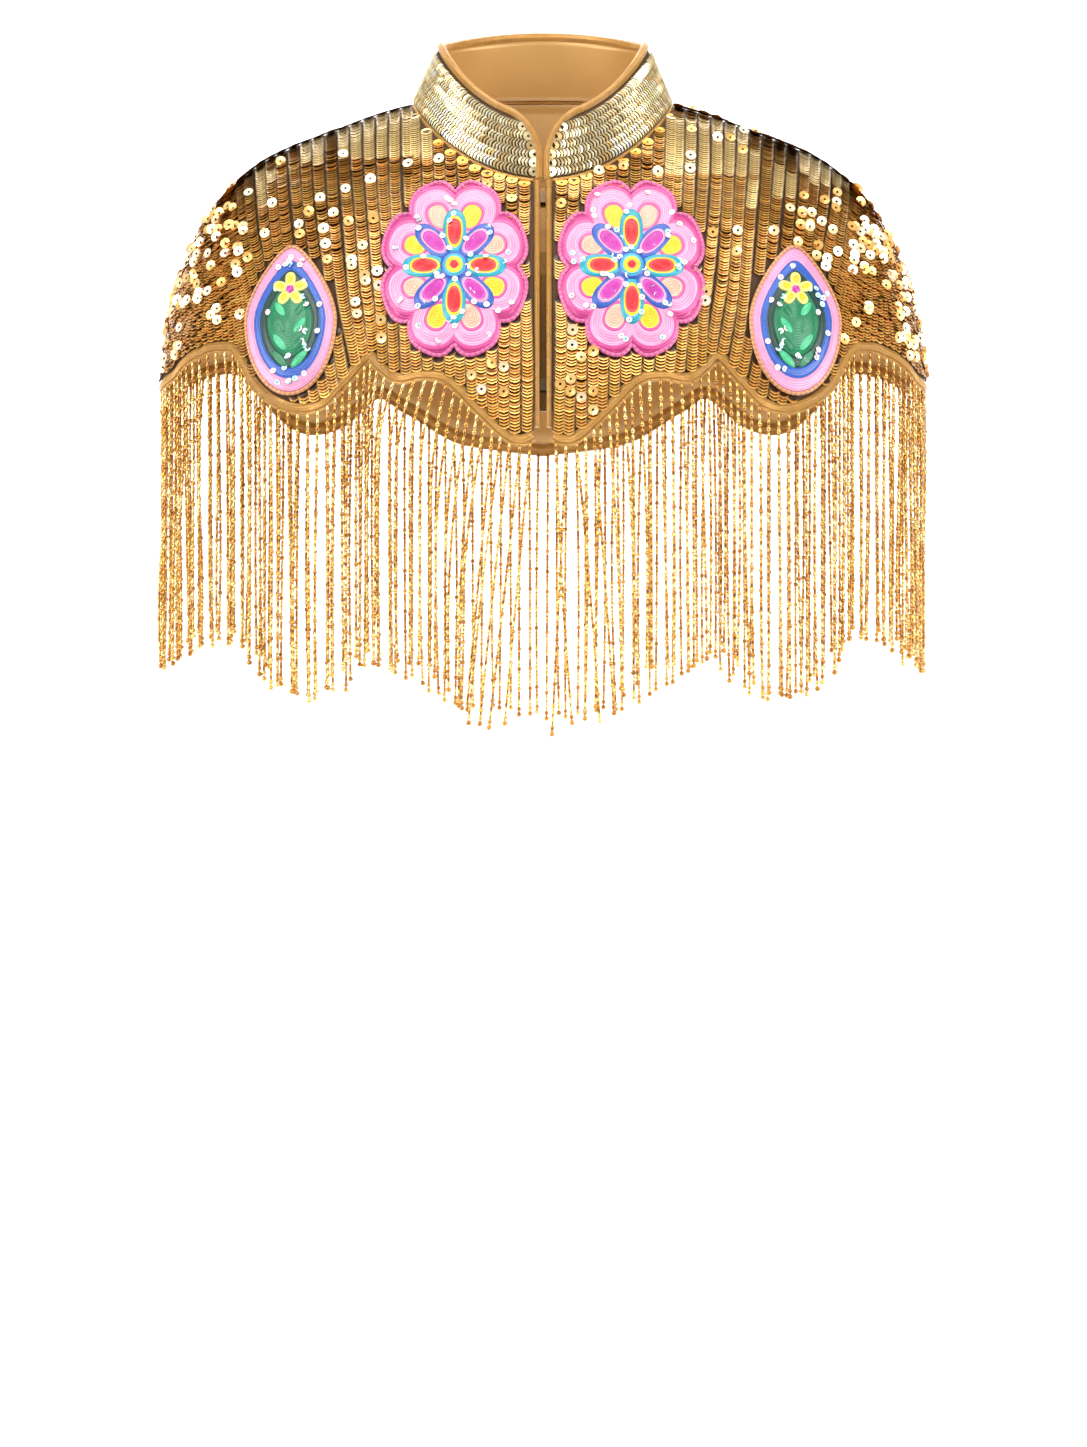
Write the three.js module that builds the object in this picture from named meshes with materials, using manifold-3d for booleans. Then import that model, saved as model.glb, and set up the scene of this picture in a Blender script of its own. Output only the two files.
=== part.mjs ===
// A short sequin cape with a stand collar, a scalloped hem and a fringe of bead strings.
// Millimetres, +Z up. The front faces -Y and +X is to the viewer's right.
// The origin is the middle of the neck base, level with the neck seam over the shoulders.
import * as THREE from 'three';
import { mergeVertices } from 'three/addons/utils/BufferGeometryUtils.js';
import Module from 'manifold-3d';

const wasm = await Module();
wasm.setup();

// Cloth and seams
const WALL = 1.6;
const COLLAR_WALL = 2.0;
const GAP = 0.3;
const PANEL_ROWS = 7;
const COLUMN_STEP = 11;

// Rings of the cape from the neck seam down to below the lowest point of the hem.
// side = the shoulder line, front and back = the centre lines, square = how boxy the ring is.
const RINGS = [
  { sideX: 80, sideZ: 0, frontY: 68, frontZ: -54, backY: 62, backZ: 10, square: 2.0 },
  { sideX: 104, sideZ: -7, frontY: 77, frontZ: -68, backY: 74, backZ: -6, square: 2.02 },
  { sideX: 128, sideZ: -16, frontY: 86, frontZ: -83, backY: 85, backZ: -24, square: 2.06 },
  { sideX: 151, sideZ: -24.5, frontY: 95, frontZ: -99, backY: 95, backZ: -44, square: 2.1 },
  { sideX: 172.5, sideZ: -35, frontY: 103, frontZ: -115, backY: 103, backZ: -65, square: 2.15 },
  { sideX: 192, sideZ: -51, frontY: 110, frontZ: -132, backY: 109, backZ: -87, square: 2.2 },
  { sideX: 208, sideZ: -72, frontY: 116, frontZ: -149, backY: 114, backZ: -109, square: 2.25 },
  { sideX: 220, sideZ: -98, frontY: 121, frontZ: -167, backY: 118, backZ: -133, square: 2.3 },
  { sideX: 229, sideZ: -128, frontY: 125, frontZ: -186, backY: 121, backZ: -157, square: 2.3 },
  { sideX: 235, sideZ: -163, frontY: 128, frontZ: -206, backY: 123, backZ: -183, square: 2.3 },
  { sideX: 239, sideZ: -203, frontY: 130, frontZ: -230, backY: 125, backZ: -210, square: 2.3 },
];
const FRONT_FALL = 1.6; // how fast the rings drop from the shoulder line towards the centre lines

// The hem from the centre front (turn 0) over the side (90) to the centre back (180).
const HEM = [
  { turn: 0, z: -207 }, // notch at the opening
  { turn: 3.7, z: -214 }, // centre front point
  { turn: 8.6, z: -198 },
  { turn: 14.1, z: -178 },
  { turn: 18.5, z: -174.5 },
  { turn: 21.8, z: -176.5 }, // shallow lobe
  { turn: 25.1, z: -169 },
  { turn: 27.5, z: -163 }, // cusp
  { turn: 30.2, z: -177 },
  { turn: 33, z: -191 },
  { turn: 36.7, z: -194 }, // deep lobe
  { turn: 41, z: -189 },
  { turn: 45, z: -179 },
  { turn: 48, z: -167 },
  { turn: 51.5, z: -157 },
  { turn: 55, z: -154.5 }, // arch before the side lobe
  { turn: 60, z: -157 },
  { turn: 74.5, z: -171 },
  { turn: 90, z: -176 }, // side lobe
  { turn: 105.5, z: -171 },
  { turn: 120, z: -159 },
  { turn: 125, z: -157 }, // arch behind the side lobe
  { turn: 131, z: -162 },
  { turn: 136, z: -180 },
  { turn: 142, z: -193 }, // deep back lobe
  { turn: 147.5, z: -189 },
  { turn: 153, z: -170 }, // back cusp
  { turn: 158, z: -178 },
  { turn: 167, z: -198 },
  { turn: 180, z: -206 }, // centre back lobe
];

// Front opening
const FRONT_PIPING = { radius: 1.6, x: 3.6, sides: 6 };
const PANEL_EDGE_X = FRONT_PIPING.x + FRONT_PIPING.radius + GAP;
const UNDERLAP = { halfWidth: 9, thickness: 1.2, foot: 10 };
const HOOK = { halfWidth: 1.6, height: 7, thickness: 2.2, topZ: -61, footZ: -178 };

// Collar. Its base is the first ring and its top is the ring below.
const COLLAR_TOP = { sideX: 64, sideZ: 37, frontY: 56, frontZ: -14, backY: 51, backZ: 50, square: 2 };
const COLLAR = { height: 41, cornerAcross: 24, cornerUp: 30, edgeX: 2.6, rows: 4, columns: 22 };
const COLLAR_BINDING = { radius: 2.2, sides: 6 };
const NECK_PIPING = { radius: 1.0, startX: 6.4, sides: 5 };

// Hem binding and fringe
const HEM_BINDING = { radius: 2.25, startX: 6.6, sides: 6 };
const FRINGE = { strands: 53, length: 176, radius: 1.1, sides: 3, stripThick: 2.0, stripTall: 2.4 };
const SWAY = { across: 1.5, depth: 1.2, length: 4, strandsPerWave: 14 };

// Appliques: a rosette on each side of the chest and a leaf drop on each deep lobe
const ROSETTE = { x: 53, z: -110, halfWide: 44.5, halfTall: 56, petals: 8, notch: 0.16 };
const DROP = { x: 151, z: -141, halfWide: 27, halfTall: 45 };
const APPLIQUE = { lift: 0.7, thickness: 1.0, raised: 0.9, ringShares: [0.25, 0.5, 0.75, 0.9, 1] };

const GOLD_CLOTH = { color: 0xd6a458, roughness: 0.35, metalness: 0.75 };
const COLLAR_CLOTH = { color: 0xe3cf9a, roughness: 0.3, metalness: 0.75 };
const GOLD_BINDING = { color: 0xcd9b50, roughness: 0.4, metalness: 0.6 };
const GOLD_BEAD = { color: 0xe9b95c, roughness: 0.25, metalness: 0.9 };
const SATIN = { color: 0xa87a35, roughness: 0.35, metalness: 0.3 };
const PINK = { color: 0xe66aa6, roughness: 0.4, metalness: 0.1 };
const EMERALD = { color: 0x0a9a62, roughness: 0.3, metalness: 0.3 };
const DARK_METAL = { color: 0x4a4038, roughness: 0.4, metalness: 0.9 };

const radians = (degrees) => (degrees * Math.PI) / 180;

/** A smooth curve through evenly spaced values, read at a place counted in steps. */
function smooth(values, place) {
  const last = values.length - 1;
  const i = Math.min(Math.max(Math.floor(place), 0), last - 1);
  const f = place - i;
  const p1 = values[i];
  const p2 = values[i + 1];
  const p0 = i > 0 ? values[i - 1] : 2 * p1 - p2;
  const p3 = i + 2 <= last ? values[i + 2] : 2 * p2 - p1;
  return 0.5 * (2 * p1 + (p2 - p0) * f + (2 * p0 - 5 * p1 + 4 * p2 - p3) * f * f
    + (3 * p1 - p0 - 3 * p2 + p3) * f * f * f);
}

/** The sizes of the ring at a share of the way down, 0 at the neck and 1 below the hem. */
function ringAt(share) {
  const place = share * (RINGS.length - 1);
  const ring = {};
  for (const key of Object.keys(RINGS[0])) {
    ring[key] = smooth(RINGS.map((row) => row[key]), place);
  }
  return ring;
}

/** A point of a ring at a turn in degrees: 0 is the centre front, 90 the right side, 180 the back. */
function ringPoint(ring, turn) {
  const s = Math.sin(radians(turn));
  const c = Math.cos(radians(turn));
  const n = ring.square;
  const reach = (Math.abs(s) ** n + Math.abs(c) ** n) ** (-1 / n);
  const front = c >= 0;
  const fall = Math.abs(c) ** FRONT_FALL;
  const endZ = front ? ring.frontZ : ring.backZ;
  return new THREE.Vector3(
    ring.sideX * reach * s,
    -(front ? ring.frontY : ring.backY) * reach * c,
    ring.sideZ + (endZ - ring.sideZ) * fall,
  );
}

const surface = (turn, share) => ringPoint(ringAt(share), turn);

/** The outward normal of a surface given as a function of a turn and a second parameter. */
function normalOf(shape, turn, v) {
  const step = 0.01;
  const across = shape(turn + 0.5, v).sub(shape(turn - 0.5, v));
  const down = shape(turn, v + step).sub(shape(turn, v - step));
  return down.cross(across).normalize();
}

const outward = (turn, share) => normalOf(surface, turn, Math.max(share, 0));

/** The share at which the surface reaches a height, found by halving. */
function shareAtZ(turn, z) {
  let low = 0;
  let high = 1.05;
  for (let i = 0; i < 40; i += 1) {
    const middle = (low + high) / 2;
    if (surface(turn, middle).z > z) low = middle;
    else high = middle;
  }
  return (low + high) / 2;
}

/** The turn at which a ring reaches a small distance from the centre line. */
const turnAtX = (ring, x) => (Math.asin(x / ring.sideX) * 180) / Math.PI;

/** The hem's height at a turn, smooth through the table's rows. */
function hemZ(turn) {
  const t = turn > 180 ? 360 - turn : turn;
  let i = 0;
  while (i < HEM.length - 2 && HEM[i + 1].turn < t) i += 1;
  const f = (t - HEM[i].turn) / (HEM[i + 1].turn - HEM[i].turn);
  return smooth(HEM.map((row) => row.z), i + f);
}

/** Turns between two limits: each row of the hem table, and more where rows lie far apart. */
function hemTurns(from, to) {
  const mirrored = HEM.map((row) => 360 - row.turn).reverse();
  const marks = [...HEM.map((row) => row.turn), ...mirrored].filter((t) => t > from + 1 && t < to - 1);
  const stops = [from, ...new Set(marks), to];
  const turns = [from];
  for (let i = 1; i < stops.length; i += 1) {
    const a = hemPoint(stops[i - 1]);
    const parts = Math.max(1, Math.round(a.distanceTo(hemPoint(stops[i])) / COLUMN_STEP));
    for (let k = 1; k <= parts; k += 1) {
      turns.push(stops[i - 1] + ((stops[i] - stops[i - 1]) * k) / parts);
    }
  }
  return turns;
}

function hemPoint(turn) {
  return surface(turn, shareAtZ(turn, hemZ(turn)));
}

/** The hem's point, outward normal and the direction in the cloth that points down out of it. */
function hemFrame(turn) {
  const share = shareAtZ(turn, hemZ(turn));
  const point = surface(turn, share);
  const along = hemPoint(turn + 0.6).sub(hemPoint(turn - 0.6)).normalize();
  const normal = outward(turn, share);
  const down = normal.clone().cross(along).normalize();
  if (down.z > 0) down.negate();
  if (turn === 90 || turn === 270) [normal.y, down.y] = [0, 0];
  if (turn === 180) [normal.x, down.x] = [0, 0];
  return { point, normal: normal.normalize(), down: down.normalize() };
}

/** Turns loose triangles into a closed body whose faces point out. */
function closedGeometry(positions, faces) {
  let volume = 0;
  const corner = (i) => new THREE.Vector3(positions[3 * i], positions[3 * i + 1], positions[3 * i + 2]);
  for (let i = 0; i < faces.length; i += 3) {
    volume += corner(faces[i]).dot(corner(faces[i + 1]).cross(corner(faces[i + 2])));
  }
  if (volume < 0) {
    for (let i = 0; i < faces.length; i += 3) [faces[i], faces[i + 1]] = [faces[i + 1], faces[i]];
  }
  const geometry = new THREE.BufferGeometry();
  geometry.setAttribute('position', new THREE.Float32BufferAttribute(positions, 3));
  geometry.setIndex(faces);
  return geometry;
}

/** A wall between an outer and an inner grid of points, closed along its four edges. */
function wallGeometry(outer, inner) {
  const rows = outer.length;
  const columns = outer[0].length;
  const positions = [];
  for (const grid of [outer, inner]) {
    for (const row of grid) for (const p of row) positions.push(p.x, p.y, p.z);
  }
  const at = (side, i, j) => side * rows * columns + i * columns + j;
  const faces = [];
  const quad = (a, b, c, d) => faces.push(a, b, c, a, c, d);
  for (let i = 0; i + 1 < rows; i += 1) {
    for (let j = 0; j + 1 < columns; j += 1) {
      quad(at(0, i, j), at(0, i + 1, j), at(0, i + 1, j + 1), at(0, i, j + 1));
      quad(at(1, i, j), at(1, i, j + 1), at(1, i + 1, j + 1), at(1, i + 1, j));
    }
    quad(at(0, i, 0), at(1, i, 0), at(1, i + 1, 0), at(0, i + 1, 0));
    const end = columns - 1;
    quad(at(0, i, end), at(0, i + 1, end), at(1, i + 1, end), at(1, i, end));
  }
  for (let j = 0; j + 1 < columns; j += 1) {
    quad(at(0, 0, j), at(0, 0, j + 1), at(1, 0, j + 1), at(1, 0, j));
    quad(at(0, rows - 1, j), at(1, rows - 1, j), at(1, rows - 1, j + 1), at(0, rows - 1, j + 1));
  }
  return closedGeometry(positions, faces);
}

/** A solid swept along frames { point, normal, down }, with a section given as [out, down] pairs. */
function sweepGeometry(frames, section) {
  const positions = [];
  for (const { point, normal, down } of frames) {
    for (const [out, low] of section) {
      const p = point.clone().addScaledVector(normal, out).addScaledVector(down, low);
      positions.push(p.x, p.y, p.z);
    }
  }
  const sides = section.length;
  const faces = [];
  for (let i = 0; i + 1 < frames.length; i += 1) {
    for (let k = 0; k < sides; k += 1) {
      const a = i * sides + k;
      const b = i * sides + ((k + 1) % sides);
      faces.push(a, b, b + sides, a, b + sides, a + sides);
    }
  }
  const end = (frames.length - 1) * sides;
  for (let k = 1; k + 1 < sides; k += 1) {
    faces.push(0, k + 1, k, end, end + k, end + k + 1);
  }
  return closedGeometry(positions, faces);
}

/** A round section of a radius with its centre moved out and down. */
function roundSection(radius, sides, out = 0, low = 0) {
  return Array.from({ length: sides }, (_, k) => {
    const angle = (2 * Math.PI * k) / sides;
    return [out + radius * Math.cos(angle), low + radius * Math.sin(angle)];
  });
}

/** A frame on a line that runs down the cape at a turn. */
function downFrame(turn, share) {
  const normal = outward(turn, share);
  const along = surface(turn, share + 0.01).sub(surface(turn, Math.max(share - 0.01, 0))).normalize();
  return { point: surface(turn, share), normal, down: along.cross(normal).normalize() };
}

const mirrorX = (p) => new THREE.Vector3(-p.x, p.y, p.z);
const mirrorGrid = (grid) => grid.map((row) => row.map(mirrorX));
const mirrorFrames = (frames) => frames.map((f) => ({
  point: mirrorX(f.point), normal: mirrorX(f.normal), down: mirrorX(f.down),
}));

const group = new THREE.Group();
group.name = 'cape';

/** Adds a named mesh with a material of its own. */
function add(name, geometry, look) {
  geometry.computeVertexNormals();
  const mesh = new THREE.Mesh(geometry, new THREE.MeshStandardMaterial(look));
  mesh.name = name;
  group.add(mesh);
}

/** Outer and inner points of a panel between two turns, trimmed to leave room for the bindings. */
function panelGrids(turns, edge) {
  const trim = HEM_BINDING.radius + GAP;
  const start = (NECK_PIPING.radius + 2 * GAP) / 260;
  const outer = [];
  const inner = [];
  for (let i = 0; i <= PANEL_ROWS; i += 1) {
    const outerRow = [];
    const innerRow = [];
    for (const turn of turns) {
      const low = shareAtZ(turn, hemZ(turn)) - 0.01;
      const share = start + ((low - start) * i) / PANEL_ROWS;
      const placed = edge.turnAt(turn, share);
      let point = surface(placed, share);
      let normal = outward(placed, share);
      if (i === PANEL_ROWS) {
        const frame = hemFrame(turn);
        point = frame.point.clone().addScaledVector(frame.down, -trim);
        normal = frame.normal;
      }
      edge.settle(turn, point, normal);
      outerRow.push(point);
      innerRow.push(point.clone().addScaledVector(normal, -WALL));
    }
    outer.push(outerRow);
    inner.push(innerRow);
  }
  return [outer, inner];
}

function addFronts() {
  const first = turnAtX(ringAt(0.9), PANEL_EDGE_X);
  const edge = {
    turnAt(turn, share) {
      const start = turnAtX(ringAt(share), PANEL_EDGE_X);
      return start + ((turn - first) / (90 - first)) * (90 - start);
    },
    settle(turn, point, normal) {
      if (turn === first) {
        point.x = PANEL_EDGE_X;
        normal.x = 0;
      }
      if (turn === 90) {
        point.y = -GAP / 2;
        normal.y = 0;
      }
      normal.normalize();
    },
  };
  const [outer, inner] = panelGrids(hemTurns(first, 90), edge);
  add('front_right', wallGeometry(outer, inner), GOLD_CLOTH);
  add('front_left', wallGeometry(mirrorGrid(outer), mirrorGrid(inner)), GOLD_CLOTH);
}

function addBack() {
  const edge = {
    turnAt: (turn) => turn,
    settle(turn, point, normal) {
      if (turn !== 90 && turn !== 270) return;
      point.y = GAP / 2;
      normal.y = 0;
      normal.normalize();
    },
  };
  add('back', wallGeometry(...panelGrids(hemTurns(90, 270), edge)), GOLD_CLOTH);
}

/** Hem frames between two turns, with the ends half a gap back so that neighbours stay apart. */
function hemFrames(from, to) {
  return hemTurns(from, to).map((turn) => {
    const frame = hemFrame(turn);
    if (turn !== from && turn !== to) return frame;
    const inwards = turn === to ? -1 : 1;
    if (turn === 90) frame.point.y = (inwards * GAP) / 2;
    if (turn === 270) frame.point.y = (-inwards * GAP) / 2;
    if (turn === 180) frame.point.x = (-inwards * GAP) / 2;
    return frame;
  });
}

function addHemBinding() {
  const first = turnAtX(ringAt(0.9), HEM_BINDING.startX);
  const section = roundSection(HEM_BINDING.radius, HEM_BINDING.sides, -WALL / 2);
  const frames = hemFrames(first, 90);
  add('hem_binding_front_right', sweepGeometry(frames, section), GOLD_BINDING);
  add('hem_binding_front_left', sweepGeometry(mirrorFrames(frames), section), GOLD_BINDING);
  add('hem_binding_back', sweepGeometry(hemFrames(90, 270), section), GOLD_BINDING);
}

function addFrontEdges() {
  const ring = ringAt(0.5);
  for (const [name, side] of [['front_piping_right', 1], ['front_piping_left', -1]]) {
    const low = shareAtZ(0, HEM[0].z);
    const frames = Array.from({ length: 11 }, (_, i) => {
      const share = (low * i) / 10;
      const frame = downFrame(turnAtX(ring, 0.01), share);
      frame.point.x = side * FRONT_PIPING.x;
      return frame;
    });
    const section = roundSection(FRONT_PIPING.radius, FRONT_PIPING.sides, -WALL / 2);
    add(name, sweepGeometry(frames, section), GOLD_BINDING);
  }
}

/** A plate that follows the centre front, between two heights, at a depth behind the face. */
function centrePlate(halfWidth, topZ, footZ, depth, thickness, rows) {
  const shares = Array.from({ length: rows + 1 }, (_, i) => shareAtZ(0, topZ + ((footZ - topZ) * i) / rows));
  const layer = (back) => shares.map((share) => [-1, 1].map((side) => {
    const p = surface(0, share).addScaledVector(outward(0, share), -back);
    p.x = side * halfWidth;
    return p;
  }));
  return wallGeometry(layer(depth), layer(depth + thickness));
}

function addClosure() {
  const depth = WALL / 2 + FRONT_PIPING.radius + GAP;
  const { halfWidth, thickness, foot } = UNDERLAP;
  const top = RINGS[0].frontZ - 2;
  add('underlap', centrePlate(halfWidth, top, HEM[0].z + foot, depth, thickness, 10), SATIN);
  for (const [name, z] of [['hook_top', HOOK.topZ], ['hook_bottom', HOOK.footZ]]) {
    const back = depth - GAP - HOOK.thickness;
    add(name, centrePlate(HOOK.halfWidth, z, z - HOOK.height, back, HOOK.thickness, 2), DARK_METAL);
  }
}

/** A point of the collar at a turn and a share of its height. */
function collarPoint(turn, share) {
  const base = ringPoint(RINGS[0], turn);
  return base.lerp(ringPoint(COLLAR_TOP, turn), share);
}

const collarNormal = (turn, share) => normalOf((t, s) => collarPoint(t, -s), turn, -share);

/** The collar's height at a distance from its front edge: an elliptical corner, then level. */
function collarHeight(fromEdge, across, up, height) {
  if (fromEdge >= across) return height;
  const f = 1 - fromEdge / across;
  return height - up + up * Math.sqrt(1 - f * f);
}

/** Turns over the collar from one front edge round the back to the other, closer at the corners. */
function collarTurns(edgeX, across) {
  const steps = [0, 0.03, 0.12, 0.3, 0.6, 1];
  const corner = steps.map((f) => turnAtX(RINGS[0], edgeX + f * across));
  const last = corner[corner.length - 1];
  const rest = Array.from({ length: COLLAR.columns - 1 }, (_, i) => (
    last + ((360 - 2 * last) * (i + 1)) / COLLAR.columns));
  return [...corner, ...rest, ...corner.map((t) => 360 - t).reverse()];
}

/** The distance along the base from the nearer front edge, close to the front, or a large number. */
function fromFrontEdge(turn, edgeX) {
  const t = Math.min(turn, 360 - turn);
  return t < 80 ? RINGS[0].sideX * Math.sin(radians(t)) - edgeX : RINGS[0].sideX;
}

function addCollar() {
  const inset = COLLAR_BINDING.radius + GAP;
  const edgeX = COLLAR.edgeX + inset;
  const across = COLLAR.cornerAcross - inset;
  const up = COLLAR.cornerUp - inset;
  const bottom = (NECK_PIPING.radius + 2 * GAP) / COLLAR.height;
  const outer = [];
  const inner = [];
  for (let i = 0; i <= COLLAR.rows; i += 1) {
    const outerRow = [];
    const innerRow = [];
    for (const turn of collarTurns(edgeX, across)) {
      const tall = collarHeight(Math.max(fromFrontEdge(turn, edgeX), 0), across, up, COLLAR.height - inset);
      const share = bottom + ((tall / COLLAR.height - bottom) * i) / COLLAR.rows;
      const point = collarPoint(turn, share);
      outerRow.push(point);
      innerRow.push(point.clone().addScaledVector(collarNormal(turn, share), -COLLAR_WALL));
    }
    outer.push(outerRow);
    inner.push(innerRow);
  }
  add('collar', wallGeometry(outer, inner), COLLAR_CLOTH);
}

/** The outline of the collar as turn and height: up one front edge, round the back and down the other. */
function collarOutline() {
  const { edgeX, cornerAcross, cornerUp, height } = COLLAR;
  const edgeTurn = turnAtX(RINGS[0], edgeX);
  const straight = [0.6, (height - cornerUp) / 2].map((h) => ({ turn: edgeTurn, up: h }));
  const steps = 7;
  const corner = Array.from({ length: steps }, (_, i) => {
    const angle = (Math.PI / 2) * (i / steps);
    const x = edgeX + cornerAcross * (1 - Math.cos(angle));
    return { turn: turnAtX(RINGS[0], x), up: height - cornerUp + cornerUp * Math.sin(angle) };
  });
  const half = [...straight, ...corner];
  const level = collarTurns(edgeX, cornerAcross).slice(5, -5).map((turn) => ({ turn, up: height }));
  return [...half, ...level, ...half.map((p) => ({ turn: 360 - p.turn, up: p.up })).reverse()];
}

/** Frames along a list of points, with the surface's normal and the direction square to both. */
function framesAlong(points, normals) {
  return points.map((point, i) => {
    const before = points[Math.max(i - 1, 0)];
    const after = points[Math.min(i + 1, points.length - 1)];
    const along = after.clone().sub(before).normalize();
    const down = along.cross(normals[i]).normalize();
    const normal = normals[i].clone();
    return { point, normal, down };
  });
}

function addCollarTrim() {
  const outline = collarOutline();
  const points = outline.map(({ turn, up }) => collarPoint(turn, up / COLLAR.height));
  const normals = outline.map(({ turn, up }) => collarNormal(turn, up / COLLAR.height));
  const section = roundSection(COLLAR_BINDING.radius, COLLAR_BINDING.sides, -COLLAR_WALL / 2);
  add('collar_binding', sweepGeometry(framesAlong(points, normals), section), GOLD_BINDING);

  const first = turnAtX(RINGS[0], NECK_PIPING.startX);
  const steps = 44;
  const turns = Array.from({ length: steps + 1 }, (_, i) => first + ((360 - 2 * first) * i) / steps);
  const seam = turns.map((turn) => ringPoint(RINGS[0], turn));
  const out = turns.map((turn) => collarNormal(turn, 0.05));
  const cord = roundSection(NECK_PIPING.radius, NECK_PIPING.sides);
  add('neck_piping', sweepGeometry(framesAlong(seam, out), cord), GOLD_BINDING);
}

/** A point on the front panel given by its x and z as seen from the front, moved out from the cloth. */
function onPanel(x, z, out) {
  let low = 0;
  let high = 80;
  for (let i = 0; i < 24; i += 1) {
    const middle = (low + high) / 2;
    if (surface(middle, shareAtZ(middle, z)).x < x) low = middle;
    else high = middle;
  }
  const share = shareAtZ(low, z);
  return surface(low, share).addScaledVector(outward(low, share), out);
}

/** A plate with an outline given in polar form, its outer face raised, on a front panel. */
function appliqueGeometry(centre, outline, relief, steps, side) {
  const shares = APPLIQUE.ringShares;
  const layer = (height) => {
    const points = [onPanel(centre.x, centre.z, height(0, 0))];
    for (const share of shares) {
      for (let k = 0; k < steps; k += 1) {
        const angle = (2 * Math.PI * k) / steps;
        const [across, up] = outline(angle);
        const out = height(share, angle);
        points.push(onPanel(centre.x + across * share, centre.z + up * share, out));
      }
    }
    return points;
  };
  const base = APPLIQUE.lift;
  const top = layer((share, angle) => base + APPLIQUE.thickness + APPLIQUE.raised * relief(share, angle));
  const bottom = layer(() => base);
  const positions = [...top, ...bottom].flatMap((p) => [side * p.x, p.y, p.z]);
  const count = top.length;
  const faces = [];
  const at = (layerStart, ring, k) => layerStart + 1 + ring * steps + (k % steps);
  for (const [start, flip] of [[0, false], [count, true]]) {
    const face = (a, b, c) => (flip ? faces.push(a, c, b) : faces.push(a, b, c));
    for (let k = 0; k < steps; k += 1) {
      face(start, at(start, 0, k), at(start, 0, k + 1));
      for (let r = 0; r + 1 < shares.length; r += 1) {
        face(at(start, r, k), at(start, r + 1, k), at(start, r + 1, k + 1));
        face(at(start, r, k), at(start, r + 1, k + 1), at(start, r, k + 1));
      }
    }
  }
  const rim = shares.length - 1;
  for (let k = 0; k < steps; k += 1) {
    faces.push(at(0, rim, k), at(count, rim, k), at(count, rim, k + 1));
    faces.push(at(0, rim, k), at(count, rim, k + 1), at(0, rim, k + 1));
  }
  return closedGeometry(positions, faces);
}

const petalWave = (angle) => Math.abs(Math.sin((ROSETTE.petals * angle) / 2));

/** The rosette's outline: an oval whose edge dips between the petals. */
function rosetteOutline(angle) {
  const reach = 1 - ROSETTE.notch * (1 - petalWave(angle)) ** 2;
  return [ROSETTE.halfWide * reach * Math.cos(angle), ROSETTE.halfTall * reach * Math.sin(angle)];
}

/** The drop's outline: an oval that narrows to a point at its head. */
function dropOutline(angle) {
  const up = Math.sin(angle);
  const narrow = 1 - 0.45 * Math.max(up, 0) ** 1.5;
  return [DROP.halfWide * Math.cos(angle) * narrow, DROP.halfTall * up];
}

function addAppliques() {
  const petals = (share, angle) => petalWave(angle) * 4 * share * (1 - share);
  const dome = (share) => 1 - share * share;
  for (const [side, label] of [[1, 'right'], [-1, 'left']]) {
    const steps = ROSETTE.petals * 4;
    add(`applique_chest_${label}`, appliqueGeometry(ROSETTE, rosetteOutline, petals, steps, side), PINK);
    add(`applique_side_${label}`, appliqueGeometry(DROP, dropOutline, dome, 20, side), EMERALD);
  }
}

/** A manifold solid from a geometry with merged corners. */
function solid(geometry) {
  const bare = geometry.clone();
  bare.deleteAttribute('normal');
  bare.deleteAttribute('uv');
  const merged = mergeVertices(bare);
  return new wasm.Manifold(new wasm.Mesh({
    numProp: 3,
    vertProperties: new Float32Array(merged.attributes.position.array),
    triVerts: new Uint32Array(merged.index.array),
  }));
}

/** A geometry from a manifold solid. */
function geometryOf(body) {
  const mesh = body.getMesh();
  const geometry = new THREE.BufferGeometry();
  geometry.setAttribute('position', new THREE.Float32BufferAttribute(mesh.vertProperties, 3));
  geometry.setIndex([...mesh.triVerts]);
  return geometry;
}

/** One strand: a slim straight bar from its root in the strip to its tip, with a small sway. */
function strandGeometry(root, index) {
  const wave = (2 * Math.PI * index) / SWAY.strandsPerWave;
  const length = FRINGE.length + SWAY.length * Math.sin(2.3 * wave);
  const tip = root.clone().add(new THREE.Vector3(
    SWAY.across * Math.sin(wave), SWAY.depth * Math.cos(1.7 * wave), -length));
  const frames = [root, tip].map((point) => ({
    point, normal: new THREE.Vector3(0, 1, 0), down: new THREE.Vector3(1, 0, 0),
  }));
  return sweepGeometry(frames, roundSection(FRINGE.radius, FRINGE.sides));
}

/** A narrow strip below the hem binding with its strands fused into it. */
function fringeGeometry(from, to) {
  const drop = HEM_BINDING.radius + GAP + FRINGE.stripTall / 2;
  const frames = hemFrames(from, to);
  const thick = FRINGE.stripThick / 2;
  const tall = FRINGE.stripTall / 2;
  const section = [[thick, -tall], [thick, tall], [-thick, tall], [-thick, -tall]]
    .map(([out, low]) => [out - WALL / 2, low + drop]);
  let body = solid(sweepGeometry(frames, section));
  const line = frames.map(({ point, normal, down }) => (
    point.clone().addScaledVector(normal, -WALL / 2).addScaledVector(down, drop)));
  const lengths = [0];
  for (let i = 1; i < line.length; i += 1) lengths.push(lengths[i - 1] + line[i].distanceTo(line[i - 1]));
  const total = lengths[lengths.length - 1];
  const spacing = total / FRINGE.strands;
  for (let k = 0; k < FRINGE.strands; k += 1) {
    const target = (k + 0.5) * spacing;
    let i = 1;
    while (lengths[i] < target) i += 1;
    const f = (target - lengths[i - 1]) / (lengths[i] - lengths[i - 1]);
    body = body.add(solid(strandGeometry(line[i - 1].clone().lerp(line[i], f), k)));
  }
  return geometryOf(body);
}

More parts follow.
